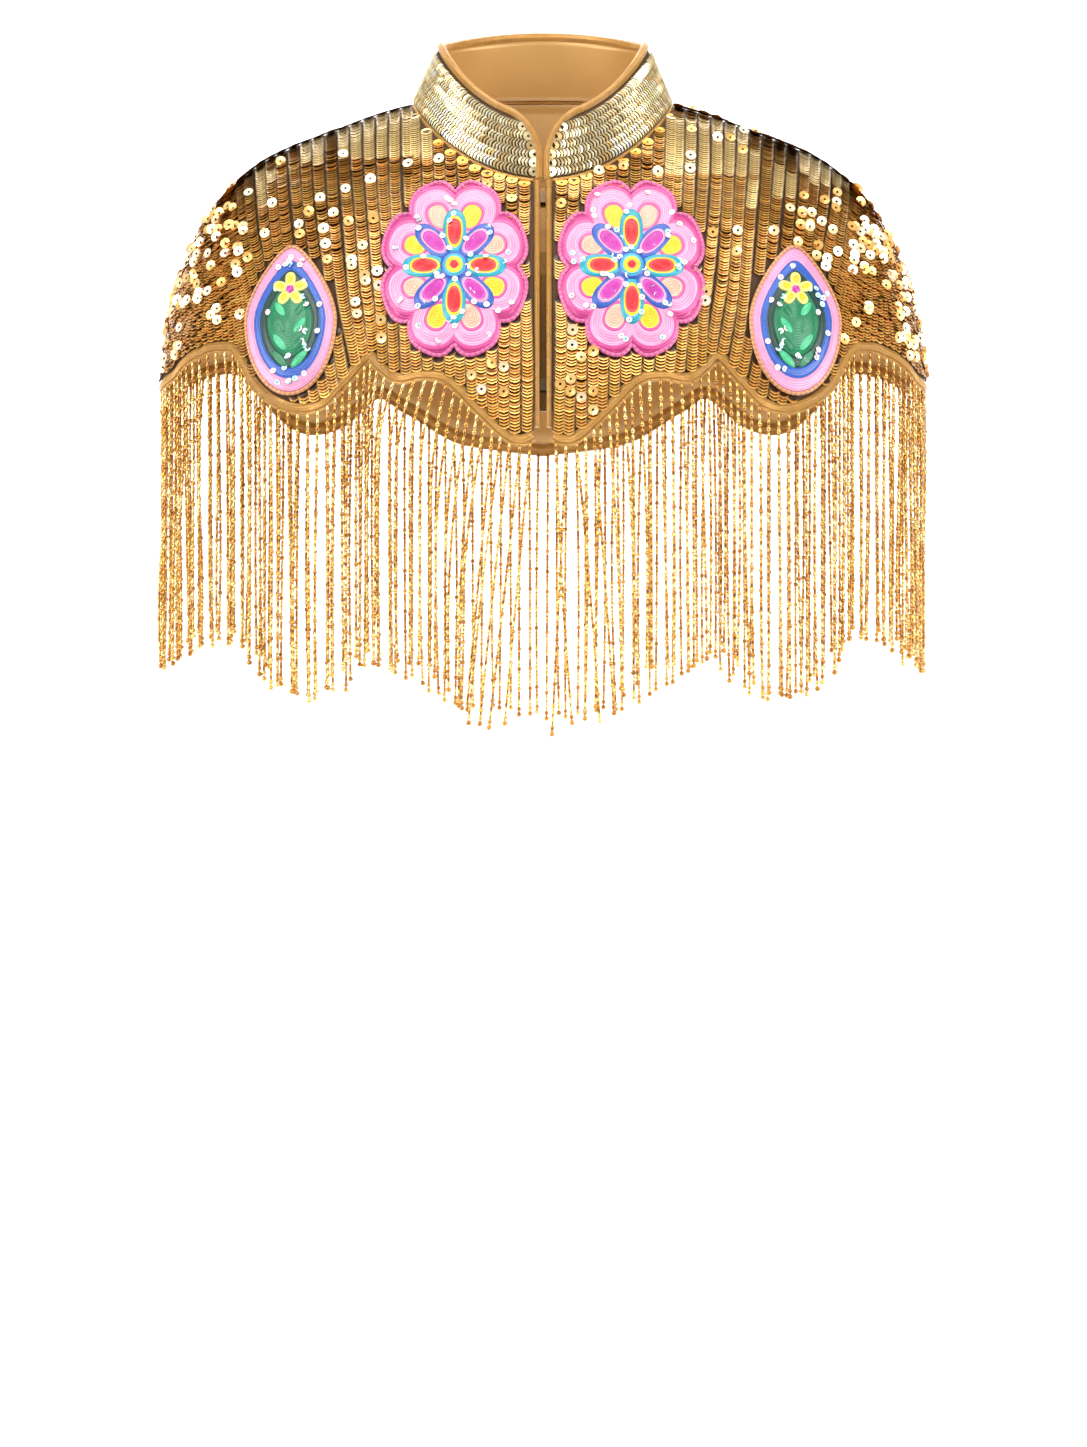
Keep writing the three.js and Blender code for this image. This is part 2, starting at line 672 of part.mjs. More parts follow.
function addFringe() {
  const first = turnAtX(ringAt(0.9), HEM_BINDING.startX);
  const stretches = [['front', fringeGeometry(first, 90)], ['back', fringeGeometry(90, 180)]];
  for (const [label, right] of stretches) {
    add(`fringe_${label}_right`, right, GOLD_BEAD);
    const left = right.clone();
    const positions = left.attributes.position;
    for (let i = 0; i < positions.count; i += 1) positions.setX(i, -positions.getX(i));
    add(`fringe_${label}_left`, closedGeometry([...positions.array], [...left.index.array]), GOLD_BEAD);
  }
}

addFronts();
addBack();
addCollar();
addCollarTrim();
addFrontEdges();
addClosure();
addHemBinding();
addAppliques();
addFringe();

export default group;
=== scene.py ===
"""A short gold sequin cape with a stand collar and a bead fringe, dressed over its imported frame.

Metres, +Z up. The front faces -Y, +X is to the viewer's right. The origin is the middle of the neck base.
"""
import logging
import math
from dataclasses import dataclass
from enum import Enum
from typing import Any

import bmesh
import bpy
import numpy as np
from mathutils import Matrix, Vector


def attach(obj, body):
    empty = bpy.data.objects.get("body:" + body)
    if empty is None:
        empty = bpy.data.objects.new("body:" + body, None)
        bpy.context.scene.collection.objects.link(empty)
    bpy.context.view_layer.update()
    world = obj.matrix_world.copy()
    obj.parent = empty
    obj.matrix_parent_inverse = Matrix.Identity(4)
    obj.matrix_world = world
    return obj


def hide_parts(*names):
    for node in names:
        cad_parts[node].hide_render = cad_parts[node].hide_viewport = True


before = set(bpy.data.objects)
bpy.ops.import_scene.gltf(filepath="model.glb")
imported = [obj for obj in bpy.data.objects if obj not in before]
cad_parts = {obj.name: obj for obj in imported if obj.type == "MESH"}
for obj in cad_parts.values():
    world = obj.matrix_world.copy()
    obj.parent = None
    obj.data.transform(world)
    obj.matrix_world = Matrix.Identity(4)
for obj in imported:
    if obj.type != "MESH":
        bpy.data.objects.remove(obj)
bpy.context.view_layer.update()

LOG = logging.getLogger("cape")
Array = np.ndarray
MM = 0.001
BODY = "root"

# Rings in millimetres, from the neck seam down to below the lowest point of the hem.
# Columns: shoulder line x and z, centre front y and z, centre back y and z, and how boxy the ring is.
RINGS = np.array([
    [80, 0, 68, -54, 62, 10, 2.0],
    [104, -7, 77, -68, 74, -6, 2.02],
    [128, -16, 86, -83, 85, -24, 2.06],
    [151, -24.5, 95, -99, 95, -44, 2.1],
    [172.5, -35, 103, -115, 103, -65, 2.15],
    [192, -51, 110, -132, 109, -87, 2.2],
    [208, -72, 116, -149, 114, -109, 2.25],
    [220, -98, 121, -167, 118, -133, 2.3],
    [229, -128, 125, -186, 121, -157, 2.3],
    [235, -163, 128, -206, 123, -183, 2.3],
    [239, -203, 130, -230, 125, -210, 2.3],
])
LAST_RING = len(RINGS) - 1
COLLAR_TOP = np.array([64, 37, 56, -14, 51, 50, 2.0])
FRONT_FALL = 1.6

# The hem. Columns: turn in degrees from the centre front, height in millimetres.
HEM = np.array([
    [0, -207], [3.7, -214], [8.6, -198], [14.1, -178], [18.5, -174.5], [21.8, -176.5], [25.1, -169],
    [27.5, -163], [30.2, -177], [33, -191], [36.7, -194], [41, -189], [45, -179], [48, -167],
    [51.5, -157], [55, -154.5], [60, -157], [74.5, -171], [90, -176], [105.5, -171], [120, -159],
    [125, -157], [131, -162], [136, -180], [142, -193], [147.5, -189], [153, -170], [158, -178],
    [167, -198], [180, -206],
])

# Soft troughs in the cloth. Columns: turn, half-width in degrees, depth in millimetres, first share.
TROUGHS = np.array([
    [27, 3.6, 3.4, 0.35], [54, 5.0, 3.0, 0.45], [75, 4.0, 1.6, 0.5], [108, 5.0, 2.2, 0.5],
    [127, 5.5, 3.2, 0.4], [153, 4.5, 3.6, 0.3], [186, 3.5, 1.8, 0.55], [209, 4.5, 3.2, 0.35],
    [236, 5.0, 2.8, 0.45], [262, 4.0, 1.8, 0.5], [288, 4.5, 2.0, 0.5], [307, 4.5, 3.2, 0.4],
    [332, 3.4, 3.8, 0.3],
])

WALL = 1.6
COLLAR_WALL = 2.0
COLLAR_HEIGHT = 41.0
COLLAR_CORNER = (24.0, 30.0)
COLLAR_EDGE_X = 2.6
PIPING_X = 3.6
PIPING_RADIUS = 1.6
PANEL_EDGE_X = PIPING_X + PIPING_RADIUS + 0.3
HEM_START_X = 6.6


def smooth(values: Array, place: Array) -> Array:
    """Read a smooth curve through evenly spaced rows: cubics that share their slopes at the rows.

    Args:
        values: the rows, along the first axis.
        place: where to read, counted in rows.

    Returns:
        One interpolated row for each place.
    """
    last = len(values) - 1
    i = np.clip(np.floor(place).astype(int), 0, last - 1)
    f = place - i
    padded = np.concatenate([2 * values[:1] - values[1:2], values, 2 * values[-1:] - values[-2:-1]])
    p0, p1, p2, p3 = (padded[i + k] for k in range(4))
    if values.ndim > 1:
        f = f[..., None]
    return 0.5 * (2 * p1 + (p2 - p0) * f + (2 * p0 - 5 * p1 + 4 * p2 - p3) * f ** 2
                  + (3 * p1 - p0 - 3 * p2 + p3) * f ** 3)


def unit(v: Array) -> Array:
    """Scale vectors along the last axis to length one."""
    return v / np.maximum(np.linalg.norm(v, axis=-1, keepdims=True), 1e-12)


def run_length(points: Array) -> Array:
    """The length of paths up to each of their points, which lie along the last axis but one."""
    steps = np.linalg.norm(np.diff(points, axis=-2), axis=-1)
    return np.concatenate([np.zeros(steps.shape[:-1] + (1,)), np.cumsum(steps, axis=-1)], -1)


def direction(angle: float) -> tuple[float, float]:
    """The cosine and the sine of an angle in degrees."""
    return math.cos(math.radians(angle)), math.sin(math.radians(angle))


def circle(count: int) -> Array:
    """Evenly spaced angles round a circle, in radians."""
    return np.linspace(0, 2 * math.pi, count, endpoint=False)


def ring_at(share: Array) -> Array:
    """The ring at each share of the way down, in the columns of RINGS."""
    return smooth(RINGS, np.asarray(share) * LAST_RING)


def ring_point(ring: Array, turn: Array) -> Array:
    """Points of boxy oval rings whose height falls from the shoulder line towards the centre lines.

    Args:
        ring: ring rows, in the columns of RINGS.
        turn: degrees from the centre front round over the right side.

    Returns:
        Points in millimetres.
    """
    s, c = np.sin(np.radians(turn)), np.cos(np.radians(turn))
    n = ring[..., 6]
    reach = (np.abs(s) ** n + np.abs(c) ** n) ** (-1 / n)
    front = c >= 0
    depth = np.where(front, ring[..., 2], ring[..., 4])
    end = np.where(front, ring[..., 3], ring[..., 5])
    z = ring[..., 1] + (end - ring[..., 1]) * np.abs(c) ** FRONT_FALL
    return np.stack([ring[..., 0] * reach * s, -depth * reach * c, z], -1)


def surface(turn: Array, share: Array) -> Array:
    """Points of the cape: the ring at each share of the way down, pulled in along the soft troughs.

    Args:
        turn: degrees from the centre front.
        share: 0 at the neck seam and 1 below the hem.

    Returns:
        Points in millimetres.
    """
    turn, share = np.broadcast_arrays(np.asarray(turn, float), np.asarray(share, float))
    points = ring_point(ring_at(share), turn)
    away = (turn[..., None] - TROUGHS[:, 0] + 180) % 360 - 180
    grown = np.clip((share[..., None] - TROUGHS[:, 3]) / (0.9 - TROUGHS[:, 3]), 0, 1)
    grown = grown ** 2 * (3 - 2 * grown)
    depth = (TROUGHS[:, 2] * np.exp(-(away / TROUGHS[:, 1]) ** 2) * grown).sum(-1)
    flat = np.maximum(np.linalg.norm(points[..., :2], axis=-1), 1)
    points[..., :2] *= (1 - depth / flat)[..., None]
    return points


def outward(turn: Array, share: Array) -> Array:
    """Outward normals of the cape, from differences down and across."""
    share = np.maximum(share, 0.0)
    down = surface(turn, share + 0.01) - surface(turn, share - 0.01)
    across = surface(turn + 0.5, share) - surface(turn - 0.5, share)
    return unit(np.cross(down, across))


def share_at_z(turn: Array, z: Array) -> Array:
    """The share at which each turn's line reaches a height, by halving."""
    low, high = np.zeros_like(turn, float), np.full_like(turn, 1.05, float)
    for _ in range(26):
        middle = (low + high) / 2
        above = surface(turn, middle)[..., 2] > z
        low, high = np.where(above, middle, low), np.where(above, high, middle)
    return (low + high) / 2


def hem_z(turn: Array) -> Array:
    """The hem's height at each turn, smooth through the table."""
    t = np.where(turn > 180, 360 - turn, turn)
    return smooth(HEM[:, 1], np.interp(t, HEM[:, 0], np.arange(len(HEM))))


def hem_share(turn: Array) -> Array:
    """The share at which each turn's line reaches the hem."""
    return share_at_z(turn, hem_z(turn))


def turn_at_x(ring: Array, x: float) -> Array:
    """The turn in degrees at which rings are a small distance from the centre line."""
    return np.degrees(np.arcsin(x / ring[..., 0]))


# The turn at which the hem's binding and fringe start, a little off the centre line.
HEM_FIRST = float(turn_at_x(smooth(RINGS, np.array(9.0)), HEM_START_X))


def collar_point(turn: Array, up: Array) -> Array:
    """Points of the collar, straight between its base ring and its top ring, up in millimetres."""
    turn, up = np.broadcast_arrays(np.asarray(turn, float), np.asarray(up, float))
    share = (up / COLLAR_HEIGHT)[..., None]
    return ring_point(np.broadcast_to(RINGS[0], turn.shape + (7,)), turn) * (1 - share) \
        + ring_point(np.broadcast_to(COLLAR_TOP, turn.shape + (7,)), turn) * share


def collar_outward(turn: Array, up: Array) -> Array:
    """Outward normals of the collar."""
    down = collar_point(turn, up - 0.4) - collar_point(turn, up + 0.4)
    across = collar_point(turn + 0.5, up) - collar_point(turn - 0.5, up)
    return unit(np.cross(down, across))


def collar_height(turn: Array, inset: float) -> Array:
    """The collar's height at each turn: an elliptical corner at the front edges, then level.

    Args:
        turn: degrees from the centre front.
        inset: millimetres kept back from the outline.

    Returns:
        Heights in millimetres.
    """
    near = np.minimum(turn, 360 - turn)
    x = np.where(near < 80, RINGS[0, 0] * np.sin(np.radians(np.minimum(near, 80))), 99.0)
    across, up = COLLAR_CORNER[0] - inset, COLLAR_CORNER[1] - inset
    f = np.clip(1 - (x - COLLAR_EDGE_X - inset) / across, 0, 1)
    return COLLAR_HEIGHT - inset - up * (1 - np.sqrt(1 - f ** 2))


def grid_faces(rows: int, columns: int, start: int = 0, flip: bool = False, wrap: bool = False) -> Array:
    """Quads of a grid of points laid out row by row.

    Args:
        rows: rows of points.
        columns: columns of points.
        start: index of the grid's first point.
        flip: turn the faces the other way.
        wrap: join the last column to the first.

    Returns:
        Corner indices, four to a face.
    """
    i, j = np.meshgrid(np.arange(rows - 1), np.arange(columns if wrap else columns - 1), indexing="ij")
    k = (j + 1) % columns
    quads = np.stack([i * columns + j, (i + 1) * columns + j, (i + 1) * columns + k, i * columns + k], -1)
    quads = quads.reshape(-1, 4) + start
    return quads[:, ::-1] if flip else quads


@dataclass
class Patch:
    """Points with faces, texture places, a colour for each point and a material number for each face."""

    points: Array
    faces: list[Array]
    uv: Array | None = None
    tone: Array | None = None
    finish: int = 0

    @staticmethod
    def joined(patches: "list[Patch]") -> "tuple[Patch, Array]":
        """Join patches into one, with a material number for each face.

        Args:
            patches: the patches, all with places and colours.

        Returns:
            The joined patch and the face materials.
        """
        starts = np.cumsum([0] + [len(p.points) for p in patches[:-1]])
        faces = [f + start for p, start in zip(patches, starts) for f in p.faces]
        numbers = np.concatenate([np.full(len(f), p.finish) for p in patches for f in p.faces])
        uv = np.concatenate([np.zeros((len(p.points), 2)) if p.uv is None else p.uv for p in patches])
        tone = np.concatenate([np.ones((len(p.points), 3)) if p.tone is None else p.tone for p in patches])
        return Patch(np.concatenate([p.points for p in patches]), faces, uv, tone), numbers


def wall(outer: Array, inner: Array, uv: Array) -> list[Patch]:
    """A closed cloth wall: an outer grid, an inner grid that looks the other way, and a rim strip.

    Args:
        outer: outer points, rows by columns by three.
        inner: inner points in the same layout.
        uv: texture places for both grids.

    Returns:
        The patch of the outer faces, and that of the inner faces and the rim, with the second material.
    """
    rows, columns = outer.shape[:2]
    count = rows * columns
    number = np.arange(count).reshape(rows, columns)
    loop = np.concatenate([number[:-1, 0], number[-1, :-1], number[:0:-1, -1], number[0, :0:-1]])
    after = np.roll(loop, -1)
    rim = np.stack([loop, loop + count, after + count, after], -1)
    both = np.concatenate([outer.reshape(-1, 3), inner.reshape(-1, 3)])
    twice = np.concatenate([uv.reshape(-1, 2)] * 2)
    lining = [grid_faces(rows, columns, count, True), rim]
    return [Patch(both, [grid_faces(rows, columns)], twice), Patch(both, lining, twice, finish=1)]


def sweep(points: Array, normals: Array, section: Array, uv_scale: float = 1.0) -> Patch:
    """A solid along a path: a section carried along the normals and the side directions.

    Args:
        points: path points in order.
        normals: outward directions at the points.
        section: closed loop of out and low offsets.
        uv_scale: texture lengths to a millimetre of path.

    Returns:
        The patch, closed at both ends.
    """
    along = unit(np.gradient(points, axis=0))
    low = unit(np.cross(along, normals))
    out = unit(np.cross(low, along))
    body = points[:, None] + out[:, None] * section[None, :, :1] + low[:, None] * section[None, :, 1:]
    rows, columns = body.shape[:2]
    run = run_length(points) * uv_scale
    uv = np.stack(np.broadcast_arrays(run[:, None], np.linspace(0, 1, columns, endpoint=False)[None]), -1)
    first = np.arange(columns)
    quads = grid_faces(rows, columns, wrap=True)
    caps = np.stack([first, first + (rows - 1) * columns])
    patch = Patch(body.reshape(-1, 3), [quads, caps[:1], caps[1:, ::-1]], uv.reshape(-1, 2))
    a, b, c = (patch.points[quads[0, k]] for k in range(3))
    if np.dot(np.cross(b - a, c - b), (a + c) / 2 - body[:2].mean((0, 1))) < 0:
        patch.faces = [f[:, ::-1] for f in patch.faces]
    return patch


def oval_section(out: float, low: float, sides: int, shift_out: float = 0.0, ridge: float = 0.0) -> Array:
    """A closed oval section with soft ridges: each radius grows and shrinks six times round.

    Args:
        out: half thickness.
        low: half width.
        sides: points round the section.
        shift_out: how far the middle moves out.
        ridge: ridge height as a share of the radius.

    Returns:
        Out and low offsets.
    """
    angle = circle(sides)
    swell = 1 + ridge * np.cos(6 * angle)
    return np.stack([shift_out + out * swell * np.cos(angle), low * swell * np.sin(angle)], -1)


class Wire:
    """A node socket whose arithmetic adds Math nodes to its shader."""

    def __init__(self, shader: "Shader", socket: Any) -> None:
        """Keep the shader and the output socket."""
        self.shader = shader
        self.socket = socket

    def math(self, operation: str, *others: Any, first: Any = None) -> "Wire":
        """Join this value and others with a Math node; first stands before this value when it is given."""
        values = [self, *others] if first is None else [first, self, *others]
        return self.shader.node("ShaderNodeMath", dict(enumerate(values)), operation=operation)

    def __add__(self, other: Any) -> "Wire":
        """This plus another."""
        return self.math("ADD", other)

    def __mul__(self, other: Any) -> "Wire":
        """This times another."""
        return self.math("MULTIPLY", other)

    def __sub__(self, other: Any) -> "Wire":
        """This less another."""
        return self.math("SUBTRACT", other)

    def __rsub__(self, other: Any) -> "Wire":
        """Another less this."""
        return self.math("SUBTRACT", first=other)

    def __lt__(self, other: float) -> "Wire":
        """One where this is less than another."""
        return self.math("LESS_THAN", other)

    def __gt__(self, other: float) -> "Wire":
        """One where this is more than another."""
        return self.math("GREATER_THAN", other)

    __radd__ = __add__
    __rmul__ = __mul__


class Shader:
    """A material's node tree, with one way to add any node."""

    def __init__(self, name: str, **values: Any) -> None:
        """Make a material whose Principled shader has fixed values.

        Args:
            name: the material's name.
            values: fixed values by socket name, with underscores for spaces.
        """
        self.material = bpy.data.materials.new(name)
        self.material.use_nodes = True
        self.tree = self.material.node_tree
        self.surface = self.tree.nodes["Principled BSDF"]
        for key, value in values.items():
            self.surface.inputs[key.replace("_", " ")].default_value = value

    def node(self, kind: str, inputs: dict[Any, Any] | None = None, output: Any = 0,
             **settings: Any) -> Wire:
        """Add a node with its settings first, then its inputs.

        Args:
            kind: the node's type.
            inputs: values or wires by socket name or number.
            output: the output socket's name or number.
            settings: the node's own settings.

        Returns:
            The chosen output.
        """
        node = self.tree.nodes.new(kind)
        for key, value in settings.items():
            setattr(node, key, value)
        for key, value in (inputs or {}).items():
            if isinstance(value, Wire):
                self.tree.links.new(value.socket, node.inputs[key])
            else:
                node.inputs[key].default_value = value
        return Wire(self, node.outputs[output])

    def feed(self, **wires: Wire) -> None:
        """Link wires to the Principled shader's sockets, with underscores for spaces."""
        for key, wire in wires.items():
            self.tree.links.new(wire.socket, self.surface.inputs[key.replace("_", " ")])

    def tone(self) -> Wire:
        """The colour that each point carries."""
        return self.node("ShaderNodeAttribute", output="Color", attribute_name="tone")

    def uv(self) -> Wire:
        """The piece's own texture places."""
        return self.node("ShaderNodeUVMap", uv_map="places")

    def place(self) -> Wire:
        """The place in the object."""
        return self.node("ShaderNodeTexCoord", output="Object")

    def noise(self, where: Wire, scale: float, detail: float = 2.0) -> Wire:
        """Soft noise at a scale."""
        return self.node("ShaderNodeTexNoise", {"Vector": where, "Scale": scale, "Detail": detail}, "Fac")

    def mix(self, factor: Any, a: Any, b: Any, blend: str = "MIX") -> Wire:
        """Mix two colours by a factor."""
        inputs = {0: factor, 6: a, 7: b}
        return self.node("ShaderNodeMix", inputs, 2, data_type="RGBA", blend_type=blend)

    def bump(self, height: Wire, strength: float, distance: float) -> None:
        """Feed a bump to the Principled shader's normal."""
        inputs = {"Height": height, "Strength": strength, "Distance": distance}
        self.feed(Normal=self.node("ShaderNodeBump", inputs))


def rgb(red: float, green: float, blue: float) -> tuple[float, float, float, float]:
    """A display colour from 0 to 255 as a linear colour."""
    values = [v / 255 for v in (red, green, blue)]
    return (*[v / 12.92 if v <= 0.04045 else ((v + 0.055) / 1.055) ** 2.4 for v in values], 1.0)


def tones(*colours: tuple[int, int, int]) -> Array:
    """Display colours as rows of linear red, green and blue."""
    return np.array([rgb(*colour)[:3] for colour in colours])


@dataclass(frozen=True)
class SequinFinish:
    """Shiny cupped discs with a small stitch hole, tinted disc by disc.

    On strung sequins, a painted shadow line marks where the next disc up its string lies on the disc, and
    the rim carries a painted highlight.
    """

    name: str
    roughness: float = 0.3
    metallic: float = 0.5
    hole: float = 0.2
    strung: bool = True

    def material(self) -> bpy.types.Material:
        """Build the material: the tint, darker in its hole and at a loose disc's rim; on strung discs a
        painted rim highlight and a painted shadow under the disc above.
        """
        shader = Shader(self.name, Metallic=self.metallic, Coat_Weight=0.15)
        place = shader.uv()
        radius = shader.node("ShaderNodeVectorMath", {0: place}, "Value", operation="LENGTH")
        colour = shader.mix(radius < self.hole, shader.tone(), rgb(40, 26, 12))
        if self.strung:
            # Painted shadow: dark where the disc above lies on this one, fading out just below its rim.
            moved = shader.node("ShaderNodeVectorMath", {0: place, 1: (0.56, 0.0, 0.0)}, operation="ADD")
            above = shader.node("ShaderNodeVectorMath", {0: moved}, "Value", operation="LENGTH")
            line = shader.node("ShaderNodeMapRange", {"Value": above, "From Min": 1.04, "From Max": 1.4,
                                                      "To Min": 1.0, "To Max": 0.0})
            # Painted highlight: the rim of a strung disc is lightened towards pale gold.
            colour = shader.mix((radius > 0.84) * 0.5, colour, rgb(255, 212, 134))
            colour = shader.mix(line, colour, rgb(50, 32, 14))
        else:
            colour = shader.mix((radius > 0.88) * 0.4, colour, rgb(150, 100, 40))
        grain = shader.noise(shader.place(), 900.0)
        shader.feed(Base_Color=colour, Roughness=grain * 0.12 + (self.roughness - 0.06))
        return shader.material


@dataclass(frozen=True)
class SatinFinish:
    """Glossy satin with a fine weave and slow creases, darker in the creases as painted shade."""

    name: str
    light: tuple[float, float, float, float]
    dark: tuple[float, float, float, float]
    roughness: float = 0.38
    metallic: float = 0.25

    def material(self) -> bpy.types.Material:
        """Build the material: two tones in slow noise, the dark one in the creases as painted shade, with a
        fine weave as bump.
        """
        shader = Shader(self.name, Metallic=self.metallic)
        place = shader.place()
        slow = shader.noise(place, 14.0, 3.0)
        weave = shader.noise(place, 1600.0)
        # Painted shade: the noise that sinks the creases in the bump also darkens their colour.
        shader.feed(Base_Color=shader.mix(slow, self.dark, self.light),
                    Roughness=weave * 0.12 + (self.roughness - 0.06))
        shader.bump(weave * 0.3 + slow * 0.7, 0.25, 0.0015)
        return shader.material


@dataclass(frozen=True)
class BindingFinish:
    """Corded metallic yarn: fine slanted ribs along the cord, with painted highlight on the ridges and
    painted shade in the valleys.
    """

    name: str
    ridge: tuple[float, float, float, float] = rgb(230, 178, 92)
    shaded_valley: tuple[float, float, float, float] = rgb(154, 96, 32)

    def material(self) -> bpy.types.Material:
        """Build the material from a slanted wave on the piece's own places."""
        shader = Shader(self.name, Metallic=0.4, Coat_Weight=0.2)
        where = shader.node("ShaderNodeMapping", {"Vector": shader.uv(), "Rotation": (0.0, 0.0, 0.5)})
        ribs = shader.node("ShaderNodeTexWave", {"Vector": where, "Scale": 1.1, "Distortion": 0.6}, "Fac")
        worn = shader.noise(shader.place(), 160.0)
        # Painted light and shade: the ribs' wave, mixed with noise, lightens the ridges and darkens the
        # valleys.
        shader.feed(Base_Color=shader.mix(ribs * 0.55 + worn * 0.45, self.shaded_valley, self.ridge),
                    Roughness=0.5 - ribs * 0.16)
        shader.bump(ribs, 0.6, 0.0006)
        return shader.material


@dataclass(frozen=True)
class BeadFinish:
    """Metal-lined glass beads, tinted bead by bead."""

    name: str

    def material(self) -> bpy.types.Material:
        """Build the material: the bead's tint with a glassy coat."""
        shader = Shader(self.name, Metallic=0.85, Coat_Weight=0.6, Coat_Roughness=0.05)
        grain = shader.noise(shader.place(), 500.0)
        shader.feed(Base_Color=shader.tone(), Roughness=grain * 0.15 + 0.12)
        return shader.material


@dataclass(frozen=True)
class DyedFinish:
    """Dyed sequin cloth of the appliques: each point's colour under fine stacked ribs."""

    name: str

    def material(self) -> bpy.types.Material:
        """Build the material from the dye, mottled a little, with close ribs and their shadow lines."""
        shader = Shader(self.name, Metallic=0.1, Coat_Weight=0.3, Coat_Roughness=0.2)
        mottled = shader.noise(shader.place(), 130.0, 3.0)
        ribs = shader.node("ShaderNodeTexWave", {"Vector": shader.uv(), "Scale": 0.2, "Distortion": 1.5,
                                                 "Detail Scale": 2.0}, "Fac")
        shade = shader.mix(mottled * 0.5 + ribs * 0.5, rgb(176, 168, 176), rgb(255, 255, 255))
        shader.feed(Base_Color=shader.mix(1.0, shader.tone(), shade, "MULTIPLY"),
                    Roughness=0.48 - ribs * 0.16)
        shader.bump(ribs * 0.7 + mottled * 0.3, 0.5, 0.0006)
        return shader.material


@dataclass(frozen=True)
class MetalFinish:
    """Darkened metal of the hooks."""

    name: str

    def material(self) -> bpy.types.Material:
        """Build the material: dark metal with light scuffs."""
        shader = Shader(self.name, Metallic=0.95)
        scuff = shader.noise(shader.place(), 700.0)
        shader.feed(Base_Color=shader.mix(scuff, rgb(58, 46, 34), rgb(120, 98, 70)),
                    Roughness=scuff * 0.25 + 0.25)
        return shader.material


class Slot(Enum):
    """The record's material slots, listed by name; no piece here is given them."""

    SEQUINS = "sequin_cloth"
    COLLAR = "collar_cloth"
    BINDING = "gold_binding"
    PINK = "applique_pink"
    GREEN = "applique_green"
    BEADS = "bead_string"


class Finishes:
    """Every material of the cape, made once."""

    def __init__(self) -> None:
        """Build the materials."""
        self.sequin = SequinFinish("gold_sequins").material()
        self.loose = SequinFinish("loose_sequins", 0.24, 0.5, 0.24, False).material()
        self.collar = SequinFinish("champagne_sequins", 0.22, 0.5).material()
        self.clear = SequinFinish("clear_sequins", 0.12, 0.2, 0.22, False).material()
        self.ground = SatinFinish("sequin_ground", rgb(84, 54, 20), rgb(54, 34, 12), 0.85, 0.0).material()
        self.inside = SatinFinish("satin_inside", rgb(214, 170, 104), rgb(168, 122, 62)).material()
        self.underlap = SatinFinish("underlap_satin", rgb(150, 104, 40), rgb(66, 42, 14), 0.22,
                                    0.6).material()
        self.binding = BindingFinish("corded_binding").material()
        self.beads = BeadFinish("bead_string").material()
        self.dyed = DyedFinish("dyed_sequins").material()
        self.metal = MetalFinish("hook_metal").material()


def add_object(name: str, data: Any) -> bpy.types.Object:
    """Put a mesh, light or camera into the scene as an object at the origin."""
    added = bpy.data.objects.new(name, data)
    bpy.context.scene.collection.objects.link(added)
    return added


def make_piece(name: str, patches: list[Patch], materials: list[bpy.types.Material],
               nodes: tuple[str, ...] = (), soft: bool = True) -> bpy.types.Object:
    """Put patches in millimetres into one mesh object that rides on the body.

    Args:
        name: the piece's name.
        patches: what it is made of.
        materials: its materials, in the order of the patches' finish numbers.
        nodes: CAD nodes that it stands for.
        soft: shade the faces smooth.

    Returns:
        The new object.
    """
    patch, numbers = Patch.joined(patches)
    mesh = bpy.data.meshes.new(name)
    corners = np.concatenate([f.ravel() for f in patch.faces])
    sizes = np.concatenate([np.full(len(f), f.shape[1]) for f in patch.faces])
    mesh.vertices.add(len(patch.points))
    mesh.loops.add(len(corners))
    mesh.polygons.add(len(sizes))
    mesh.vertices.foreach_set("co", (patch.points * MM).astype(np.float32).ravel())
    mesh.loops.foreach_set("vertex_index", corners.astype(np.int32))
    mesh.polygons.foreach_set("loop_start", np.concatenate([[0], np.cumsum(sizes)[:-1]]).astype(np.int32))
    mesh.polygons.foreach_set("material_index", numbers.astype(np.int32))
    mesh.polygons.foreach_set("use_smooth", np.full(len(sizes), soft))
    mesh.uv_layers.new(name="places").data.foreach_set("uv", patch.uv[corners].astype(np.float32).ravel())
    tone = mesh.attributes.new("tone", "FLOAT_COLOR", "POINT")
    rgba = np.concatenate([patch.tone, np.ones((len(patch.tone), 1))], 1)
    tone.data.foreach_set("color", rgba.astype(np.float32).ravel())
    for material in materials:
        mesh.materials.append(material)
    mesh.update(calc_edges=True)
    mesh.validate()
    piece = add_object(name, mesh)
    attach(piece, BODY)
    if nodes:
        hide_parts(*nodes)
    LOG.info("%s: %d faces", name, len(sizes))
    return piece


def make_cloth(node: str, outer: Array, inner: Array, uv: Array, finishes: Finishes) -> bpy.types.Object:
    """Make a cloth wall with satin inside, whose points are merged so that it is one closed body.

    Args:
        node: the CAD node that it stands for.
        outer: outer points, rows by columns by three.
        inner: inner points in the same layout.
        uv: texture places for both grids.
        finishes: the cape's materials.

    Returns:
        The new object.
    """
    piece = make_piece(f"{node}_cloth", wall(outer, inner, uv), [finishes.ground, finishes.inside],
                       (node,))
    work = bmesh.new()
    work.from_mesh(piece.data)
    bmesh.ops.remove_doubles(work, verts=work.verts, dist=1e-6)
    work.to_mesh(piece.data)
    work.free()
    return piece


def half_area(piece: bpy.types.Object) -> float:
    """Half of a closed wall's whole surface, in square metres."""
    areas = np.empty(len(piece.data.polygons))
    piece.data.polygons.foreach_get("area", areas)
    return float(areas.sum()) / 2


